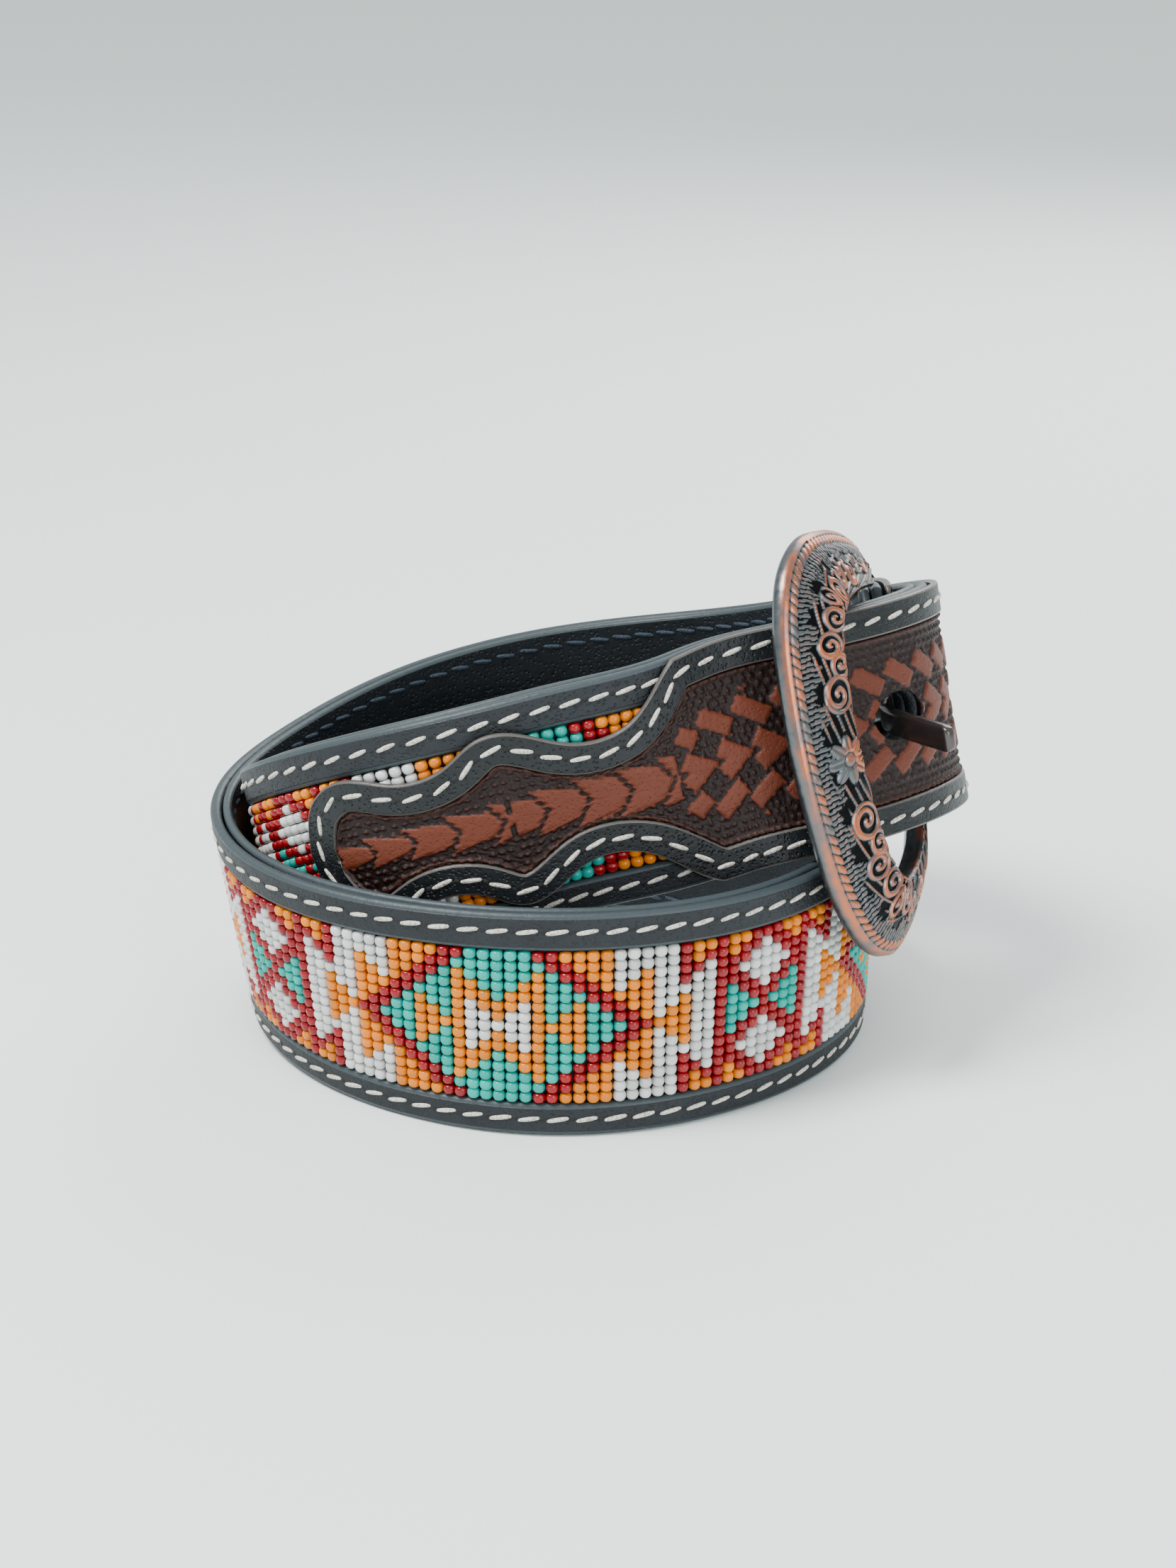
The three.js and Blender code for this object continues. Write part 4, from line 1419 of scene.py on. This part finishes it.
@dataclass
class Buckle:
    """Cast horseshoe buckle with a rope rim, hatching, curls and a flower, its bar and prong."""

    path: StrapPath
    size: BuckleSize

    def __post_init__(self) -> None:
        """Works out the buckle's place and directions from the strap's first station."""
        path, angle = self.path, math.radians(self.size.turn)
        self.up = path.across[0]
        self.along = unit(-path.along[0] * math.cos(angle) - path.out[0] * math.sin(angle))
        self.face = np.cross(self.up, self.along)
        self.bar_centre = path.place(0, 0, -path.size.loop_radius) / MM

    def place(self, along: np.ndarray, up: np.ndarray, out: np.ndarray) -> np.ndarray:
        """Points of the buckle.

        Args:
            along: distance from the bar to the bow, in millimetres.
            up: distance up the bar.
            out: distance out of its face.

        Returns:
            The points in metres.
        """
        parts = (along[..., None] * self.along + (up + self.size.raised)[..., None] * self.up
                 + out[..., None] * self.face)
        return (self.bar_centre + parts) * MM

    def engraving(self, run: np.ndarray, depth: np.ndarray, band: np.ndarray) -> np.ndarray:
        """The engraving on the band.

        Args:
            run: distance from the bow's middle, in millimetres.
            depth: distance in from the outer edge.
            band: width of the band there.

        Returns:
            Its height from 0 to 1.
        """
        size = self.size
        rope_low, rope_high = size.rope_low, size.rope_high
        round_rope = np.sqrt(np.clip(1 - ((depth - 1.5) / 0.8) ** 2, 0, 1))
        strand = (run + (depth - 1.5) * 0.9) / size.rope_pitch
        cut = np.exp(-((strand - np.round(strand)) * size.rope_pitch / 0.17) ** 2)
        rope = round_rope * (1 - 0.85 * cut)
        reach = 4.9 + 1.1 * np.sin(run * 0.9) + 0.5 * np.sin(run * 2.7)
        line = np.abs(np.sin(run * math.pi / size.hatch_pitch + 0.4 * np.sin(depth * 3)))
        hatch = 0.12 + 0.45 * (line > 0.5) * (depth < reach)
        field = np.full_like(run, 9.0)
        inner = np.full_like(run, 9.0)
        for curl in SCROLLS:
            for side in (-1, 1):
                du = run * side - curl.along
                dv = (depth - curl.across * band / size.band) * curl.hand
                radius = np.hypot(du, dv)
                angle = (np.degrees(np.arctan2(dv, du)) - curl.start) % 360 / 360
                pitch = curl.radius / curl.turns
                arm = (radius / pitch - angle) % 1
                gap = np.minimum(arm, 1 - arm) * pitch
                field = np.where(radius < curl.radius, np.minimum(field, gap), field)
                leaf = np.abs(radius - curl.radius)
                field = np.minimum(field, leaf + 0.1)
                inner = np.minimum(inner, radius - curl.radius)
        vein = np.abs(np.sin(run * 0.55 + depth * 1.9)) * 0.9
        field = np.where(inner > 0.5, np.minimum(field, vein + 0.12), field)
        curls = 1 / (1 + np.exp((field - 0.42) * 11))
        leaves = np.clip(depth - 4.4 - 0.9 * np.sin(run * 0.62), 0, 1)
        pattern = curls * leaves
        flower_depth = depth - size.flower_depth
        petal_angle = np.arctan2(run, flower_depth)
        away = np.hypot(run, flower_depth)
        petal = size.flower * (0.56 + 0.44 * np.abs(np.cos(petal_angle * 4)))
        bloom = 1 / (1 + np.exp((away - petal) * 6))
        groove = 0.55 * np.exp(-((np.sin(petal_angle * 4)) / 0.25) ** 2) * (away > size.flower_eye)
        ring = 0.6 * np.exp(-((away - size.flower_eye) / 0.25) ** 2)
        near = away < petal + 0.6
        pattern = np.where(near, bloom * (1 - groove) * (1 - ring), pattern)
        lip = 1 / (1 + np.exp((band - depth - 0.7) * 8))
        body = np.maximum(np.maximum(hatch * (pattern < 0.25), pattern), lip * 0.8)
        height = np.where(depth < rope_high, rope, body)
        return np.where(depth < rope_low, 0.72, height)

    def frame_body(self) -> Body:
        """The horseshoe band as a fine loft with its engraving raised on it."""
        size = self.size
        span = size.reach + size.arm
        upper = np.array([(a * span - size.arm, u * size.height / 2, rise) for a, u, _, rise in BOW])
        lower = upper[1:][::-1] * [1, -1, 1]
        knots = np.concatenate([lower, upper])
        fine = catmull_rom(knots, np.linspace(0, 1, 4000))
        course = np.concatenate([[0], np.cumsum(np.linalg.norm(np.diff(fine, axis=0), axis=1))])
        even = np.linspace(0, course[-1], size.columns)
        line = np.stack([np.interp(even, course, fine[:, k]) for k in range(3)], -1)
        tangent = unit(np.gradient(line[:, :2], axis=0))
        inward = np.stack([-tangent[:, 1], tangent[:, 0]], -1)
        rows = sorted((a, share) for a, _, share, _ in BOW)
        share = (line[:, 0] + size.arm) / span
        band = size.band * np.interp(share, [r[0] for r in rows], [r[1] for r in rows])
        top = [(0.5, 0.86), (0.44, 0.97), (0.36, 1.0), (0.1, 0.88), (-0.2, 0.64), (-0.4, 0.42),
               (-0.47, 0.36), (-0.5, 0.28)]
        across = np.linspace(0.5, -0.5, size.rows)
        order = sorted(top)
        profile = np.interp(across, [p[0] for p in order], [p[1] for p in order])
        kernel = np.ones(5) / 5
        smooth = np.convolve(np.pad(profile, 2, mode="edge"), kernel, mode="valid")
        under = [(-0.5, 0.12), (-0.46, 0.03), (-0.2, 0.06), (0.1, 0.14), (0.45, 0.4), (0.5, 0.48),
                 (0.5, 0.66)]
        sections = np.concatenate([across, [p[0] for p in under]])
        rises = np.concatenate([smooth, [p[1] for p in under]])
        depth = (sections[None, :] + 0.5) * band[:, None]
        run = np.broadcast_to((even - course[-1] / 2)[:, None], depth.shape)
        carved = self.engraving(run, depth, np.broadcast_to(band[:, None], depth.shape))
        carved[:, len(across):] = 0.45
        edge = np.clip(np.minimum(depth, band[:, None] - depth) / 0.4, 0, 1)
        raise_by = (carved - 0.5) * size.carving * edge
        raise_by[:, len(across):] = 0
        domed = rises[None, :] * size.thick * band[:, None] / size.band
        out = size.lift + line[:, 2:3] + domed + raise_by
        points = self.place(line[:, 0:1] + inward[:, 0:1] * depth,
                            line[:, 1:2] + inward[:, 1:2] * depth, out)
        uv = np.stack([run, depth], -1) * MM
        return loft(points, uv, {"height": carved})

    def bar_body(self) -> Body:
        """The round bar between the arms."""
        size = self.size
        armed = BOW[-1]
        length = size.height * armed[1] - 2 * armed[2] * size.band + 2 * size.bar
        turn = np.linspace(0, 2 * math.pi, 24, endpoint=False)
        up = np.linspace(-length / 2, length / 2, 9)[:, None] + 0 * turn
        along, out = size.bar * np.cos(turn) + 0 * up, size.bar * np.sin(turn) + 0 * up
        points = self.place(along, up, out)
        return loft(points, np.stack([up, out], -1) * MM, {"height": np.full(up.shape, 0.4)})

    def prong_bodies(self) -> list[Body]:
        """The hoop round the bar and the blade that comes out through the billet.

        Returns:
            The two bodies.
        """
        size, path = self.size, self.path
        inner = size.bar + path.size.clearance
        turn = np.linspace(0, 2 * math.pi, 40, endpoint=False)[:, None]
        corner = np.linspace(0, 2 * math.pi, 16, endpoint=False)[None, :]
        radius = inner + size.hoop / 2 + size.hoop / 2 * squared(np.cos(corner)) + 0 * turn
        up = size.prong_width / 2 * squared(np.sin(corner)) + 0 * turn
        parts = (radius * np.cos(turn))[..., None] * self.along + up[..., None] * self.up
        parts = parts + (radius * np.sin(turn))[..., None] * self.face
        hoop_uv = np.stack([turn + 0 * up, up], -1)
        hoop = loft((self.bar_centre + parts) * MM, hoop_uv, {"height": 0 * up}, True)
        lining_low = path.size.lining_low
        route = np.array([
            self.bar_centre + self.along * (inner + size.hoop / 2),
            path.place(path.prong + size.prong_approach, 0, lining_low - size.prong_thick) / MM,
            path.place(path.prong, -size.prong_droop / 5, 0) / MM,
            path.place(path.prong - size.prong_lean, -size.prong_droop, size.prong_reach) / MM,
        ])
        share = np.concatenate([np.linspace(0, 0.975, 60), [0.985, 0.992, 0.997, 1.0]])
        line = catmull_rom(route, share, centripetal=True)
        run = unit(np.gradient(line, axis=0))
        side = unit(self.up - run * (run @ self.up)[:, None])
        out = np.cross(run, side)
        blunt = np.ones(len(share))
        blunt[-5:] = (1.0, 0.96, 0.86, 0.7, 0.45)
        wide = (squared(np.cos(corner)) * size.prong_width / 2 * blunt[:, None])[..., None]
        thick = (squared(np.sin(corner)) * size.prong_thick / 2 * blunt[:, None])[..., None]
        rings = (line[:, None, :] + side[:, None, :] * wide + out[:, None, :] * thick) * MM
        blade = loft(rings, np.zeros((*rings.shape[:2], 2)), {"height": np.zeros(rings.shape[:2])})
        return [hoop, blade]

    def build(self, cast: bpy.types.Material, dark: bpy.types.Material) -> None:
        """Builds the frame with its bar, and the prong.

        Args:
            cast: finish of the frame.
            dark: finish of the prong.
        """
        piece = make_object("buckle", [self.frame_body(), self.bar_body()], cast)
        finished(piece, ("buckle_frame",))
        piece = make_object("buckle_prong", self.prong_bodies(), dark)
        finished(piece, ("prong",))


@dataclass
class Fold:
    """Leather that folds round the bar, slotted for the prong, and its stitched flap inside."""

    path: StrapPath
    thick: float = 2.2
    width: float = 29.0
    leg: float = 5.5
    flap: float = 50.0
    corner: float = 12.0
    slot_reach: float = 4.5
    slot: float = 8.0
    seat: float = 14.0
    seat_gap: float = 0.5
    edge: float = 0.9

    def __post_init__(self) -> None:
        """Works out the fold's middle line: u, n, and the out direction of the leather."""
        radius = self.path.size.loop_radius
        rows = [(self.leg, 0, 0, 1), (self.slot_reach, 0, 0, 1)]
        for angle in np.linspace(0, math.pi, 28):
            rows.append((-radius * math.sin(angle), radius * (math.cos(angle) - 1),
                         -math.sin(angle), math.cos(angle)))
        self.seat_level = self.path.size.lining_low - self.seat_gap - self.thick / 2
        for u in np.linspace(self.slot_reach, self.seat, 10):
            ease = (u / self.seat) ** 2 * (3 - 2 * u / self.seat)
            rows.append((u, -2 * radius + (self.seat_level + 2 * radius) * ease, 0, -1))
        for u in np.linspace(self.seat, self.flap, 34)[1:]:
            rows.append((u, self.seat_level, 0, -1))
        self.line = np.array(rows)

    def strip(self, line: np.ndarray, low: np.ndarray, high: np.ndarray) -> Body:
        """A band of the fold between two edges.

        Args:
            line: rows of the middle line.
            low: lower edge at each row.
            high: upper edge at each row.

        Returns:
            The closed body.
        """
        ring = np.array(rounded_ring(6, self.edge, self.thick))
        share, shift, height, rim = ring.T
        v = low[:, None] + (high - low)[:, None] * share + shift
        n = height[None, :] - self.thick / 2
        u = line[:, 0:1] + line[:, 2:3] * n
        points = self.path.place(u, v, line[:, 1:2] + line[:, 3:4] * n)
        uv = np.stack([u, v], -1) * MM
        return loft(points, uv, {"rim": np.broadcast_to(rim, v.shape)})

    def build(self, leather: bpy.types.Material) -> None:
        """Builds the fold with its slot open and its flap."""
        u, facing = self.line[:, 0], self.line[:, 3]
        seated = (facing < 0) & (u > self.slot_reach)
        loop = self.line[~seated | (u <= self.slot_reach + 1.2)]
        share = np.clip(1 - (self.flap - u[seated]) / self.corner, 0, 0.995)
        half = self.width / 2 * (0.45 + 0.55 * np.sqrt(1 - share ** 2))
        inner, outer = np.full(len(loop), self.slot / 2), np.full(len(loop), self.width / 2)
        bodies = [self.strip(self.line[seated], -half, half), self.strip(loop, inner, outer),
                  self.strip(loop, -outer, -inner)]
        finished(make_object("fold_and_flap", bodies, leather), ("chape_fold",))

    def stitch_line(self, inset: float) -> np.ndarray:
        """Line for the stitches on the flap.

        Args:
            inset: distance inside its edge.

        Returns:
            Belt coordinates u and v along the line.
        """
        end = self.flap - inset
        half = self.width / 2 - inset
        turn = np.linspace(-math.pi / 2, math.pi / 2, 24)
        bend = np.stack([end - self.corner * 0.8 * (1 - np.cos(turn)), half * np.sin(turn)], -1)
        return np.concatenate([[[self.seat + 2, -half]], bend, [[self.seat + 2, half]]])


@dataclass(frozen=True)
class Studio:
    """Floor, lights, world and camera, with the photograph's measures."""

    photo_width: float = 1659
    focal_px: float = 4910.57
    principal: tuple[float, float] = (829.5, 1106)
    axis_px: tuple[float, float] = (793.23, 1411.5)
    axis_distance: float = 608.42
    pitch: float = 18.81
    sensor: float = 36
    floor: float = 8
    floor_gap: float = 0.0002

    def camera(self, shift: np.ndarray) -> None:
        """Sets the camera where the photograph was taken from.

        Args:
            shift: the roll's axis in the row frame, in millimetres.
        """
        pitch = math.radians(self.pitch)
        ahead = Vector((0, math.cos(pitch), -math.sin(pitch)))
        up = Vector((0, math.sin(pitch), math.cos(pitch)))
        right = Vector((1, 0, 0))
        ray = ahead + right * ((self.axis_px[0] - self.principal[0]) / self.focal_px)
        ray = (ray - up * ((self.axis_px[1] - self.principal[1]) / self.focal_px)).normalized()
        data = bpy.data.cameras.new("photo_camera")
        data.sensor_fit = "HORIZONTAL"
        data.sensor_width = self.sensor
        data.lens = self.sensor * self.focal_px / self.photo_width
        data.clip_start = 0.01
        camera = bpy.data.objects.new("photo_camera", data)
        camera.matrix_world = Matrix.Translation(
            (Vector(shift) - ray * self.axis_distance) * MM
        ) @ Matrix((right, up, -ahead)).transposed().to_4x4()
        bpy.context.scene.collection.objects.link(camera)
        bpy.context.scene.camera = camera

    def light(self, name: str, place: tuple[float, float, float], size: float, power: float,
              colour: tuple[float, float, float] = (1, 1, 1)) -> None:
        """A soft area light that faces the belt.

        Args:
            name: its name.
            place: where it stands, in metres.
            size: its width.
            power: its power in watts.
            colour: its colour.
        """
        data = bpy.data.lights.new(name, "AREA")
        data.shape = "DISK"
        data.size = size
        data.energy = power
        data.color = colour
        lamp = bpy.data.objects.new(name, data)
        lamp.location = place
        aim = Vector((0, 0, 0.04)) - Vector(place)
        lamp.rotation_euler = aim.to_track_quat("-Z", "Y").to_euler()
        bpy.context.scene.collection.objects.link(lamp)

    def build(self, shift: np.ndarray) -> None:
        """Builds the floor, the lights, the world and the camera.

        Args:
            shift: the roll's axis in the row frame, in millimetres.
        """
        shader = Shader("pale floor")
        material = shader.done(Base_Color=linear("E9EFEE"), Roughness=0.9)
        bpy.ops.mesh.primitive_plane_add(size=self.floor, location=(0, 0, -self.floor_gap))
        floor = bpy.context.active_object
        floor.name = "floor"
        floor.data.materials.append(material)
        world = bpy.data.worlds.new("pale world")
        world.use_nodes = True
        background = world.node_tree.nodes["Background"]
        background.inputs["Color"].default_value = (*linear("E3ECEB"), 1)
        background.inputs["Strength"].default_value = 1.25
        bpy.context.scene.world = world
        self.light("key", (-0.35, -0.2, 0.75), 0.35, 11.0)
        self.light("front", (0.45, -0.7, 0.3), 0.5, 3.5, (0.95, 0.98, 1.0))
        self.light("back", (0.3, 0.6, 0.5), 0.6, 5.0)
        self.camera(shift)


def strap_edge_lines(path: StrapPath, overlays: list[Overlay], inset: float) -> list[np.ndarray]:
    """Lines for the stitches along the strap's edges, where no overlay covers them.

    Args:
        path: the strap's route.
        overlays: the overlays.
        inset: distance inside the strap's edge.

    Returns:
        One line of belt coordinates for each edge.
    """
    size = path.size
    lines = []
    for side in (-1, 1):
        u = np.linspace(size.ply_start + 2, path.length - 2, 1200)
        v = side * (size.half - inset)
        covered = np.zeros(len(u), bool)
        for overlay in overlays:
            distance = (u - overlay.tip) * overlay.sign
            inside = (distance > -1) & (distance < overlay.reach[-1] + 1)
            reach = np.interp(distance, overlay.reach, overlay.outer)
            covered |= inside & (reach > abs(v) - 1.2)
        free = u[~covered]
        lines.append(np.stack([free, np.full(len(free), v)], -1))
    return lines


def main() -> None:
    """Builds the belt piece by piece, then the studio."""
    logging.basicConfig(level=logging.INFO, format="%(message)s")
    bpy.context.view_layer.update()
    path = StrapPath(SIZE)
    black = LeatherFinish("black leather", "14181D", "323B3F").build()
    overlay_black = LeatherFinish("overlay leather", "0B0F13", "4E4A47", 0.38).build()
    navy = LeatherFinish("navy lining", "050C13", "343E42", 0.5, 1200).build()
    tooled = TooledFinish().build()
    cream = ThreadFinish("cream thread", "D6D0C6", "938D83").build()
    # Near-black painted shade, for the spots sunk into the stitch holes and for the sheet behind the beads.
    shade = ThreadFinish("painted hole and gap shade", "0A0C0F", "050607").build()
    navy_thread = ThreadFinish("navy thread", "2B3A48", "152230").build()
    copper = MetalFinish("antique copper", "B96C4C", "07080A", "5F6366", 0.24).build()
    steel = MetalFinish("dark metal", "55504F", "000000", "000000", 0.16, False).build()
    plies = Plies(path)
    plies.build(black, navy)
    # The bead backing takes the near-black painted shade, for the gaps between the beads.
    BeadBand(path).build(shade, plies)
    size = path.size
    billet = Overlay(path, "billet", path.billet, path.length)
    chape = Overlay(path, "chape", path.chape_end, size.ply_start)
    for overlay in (billet, chape):
        overlay.border(overlay_black)
        overlay.panel(tooled)
    sewing = Stitching(path)
    lines = [overlay.stitch_line(2.5) for overlay in (billet, chape)]
    top = size.overlay_low + size.border_thick
    sewing.along("border_stitches", lines, top, cream, shade, "black_leather")
    edges = strap_edge_lines(path, [billet, chape], 2.9)
    sewing.along("edge_stitches", edges, size.face_high, cream, shade, "black_leather")
    sewing.along("inner_stitches", edges, size.lining_low, navy_thread, None, "lining_leather", True)
    fold = Fold(path)
    fold.build(navy)
    flap_level = fold.seat_level - fold.thick / 2
    sewing.along("flap_stitches", [fold.stitch_line(3.0)], flap_level, cream, None, "lining_leather", True)
    Buckle(path, BuckleSize()).build(copper, steel)
    Studio().build(path.shift)


if __name__ == "__main__":
    main()
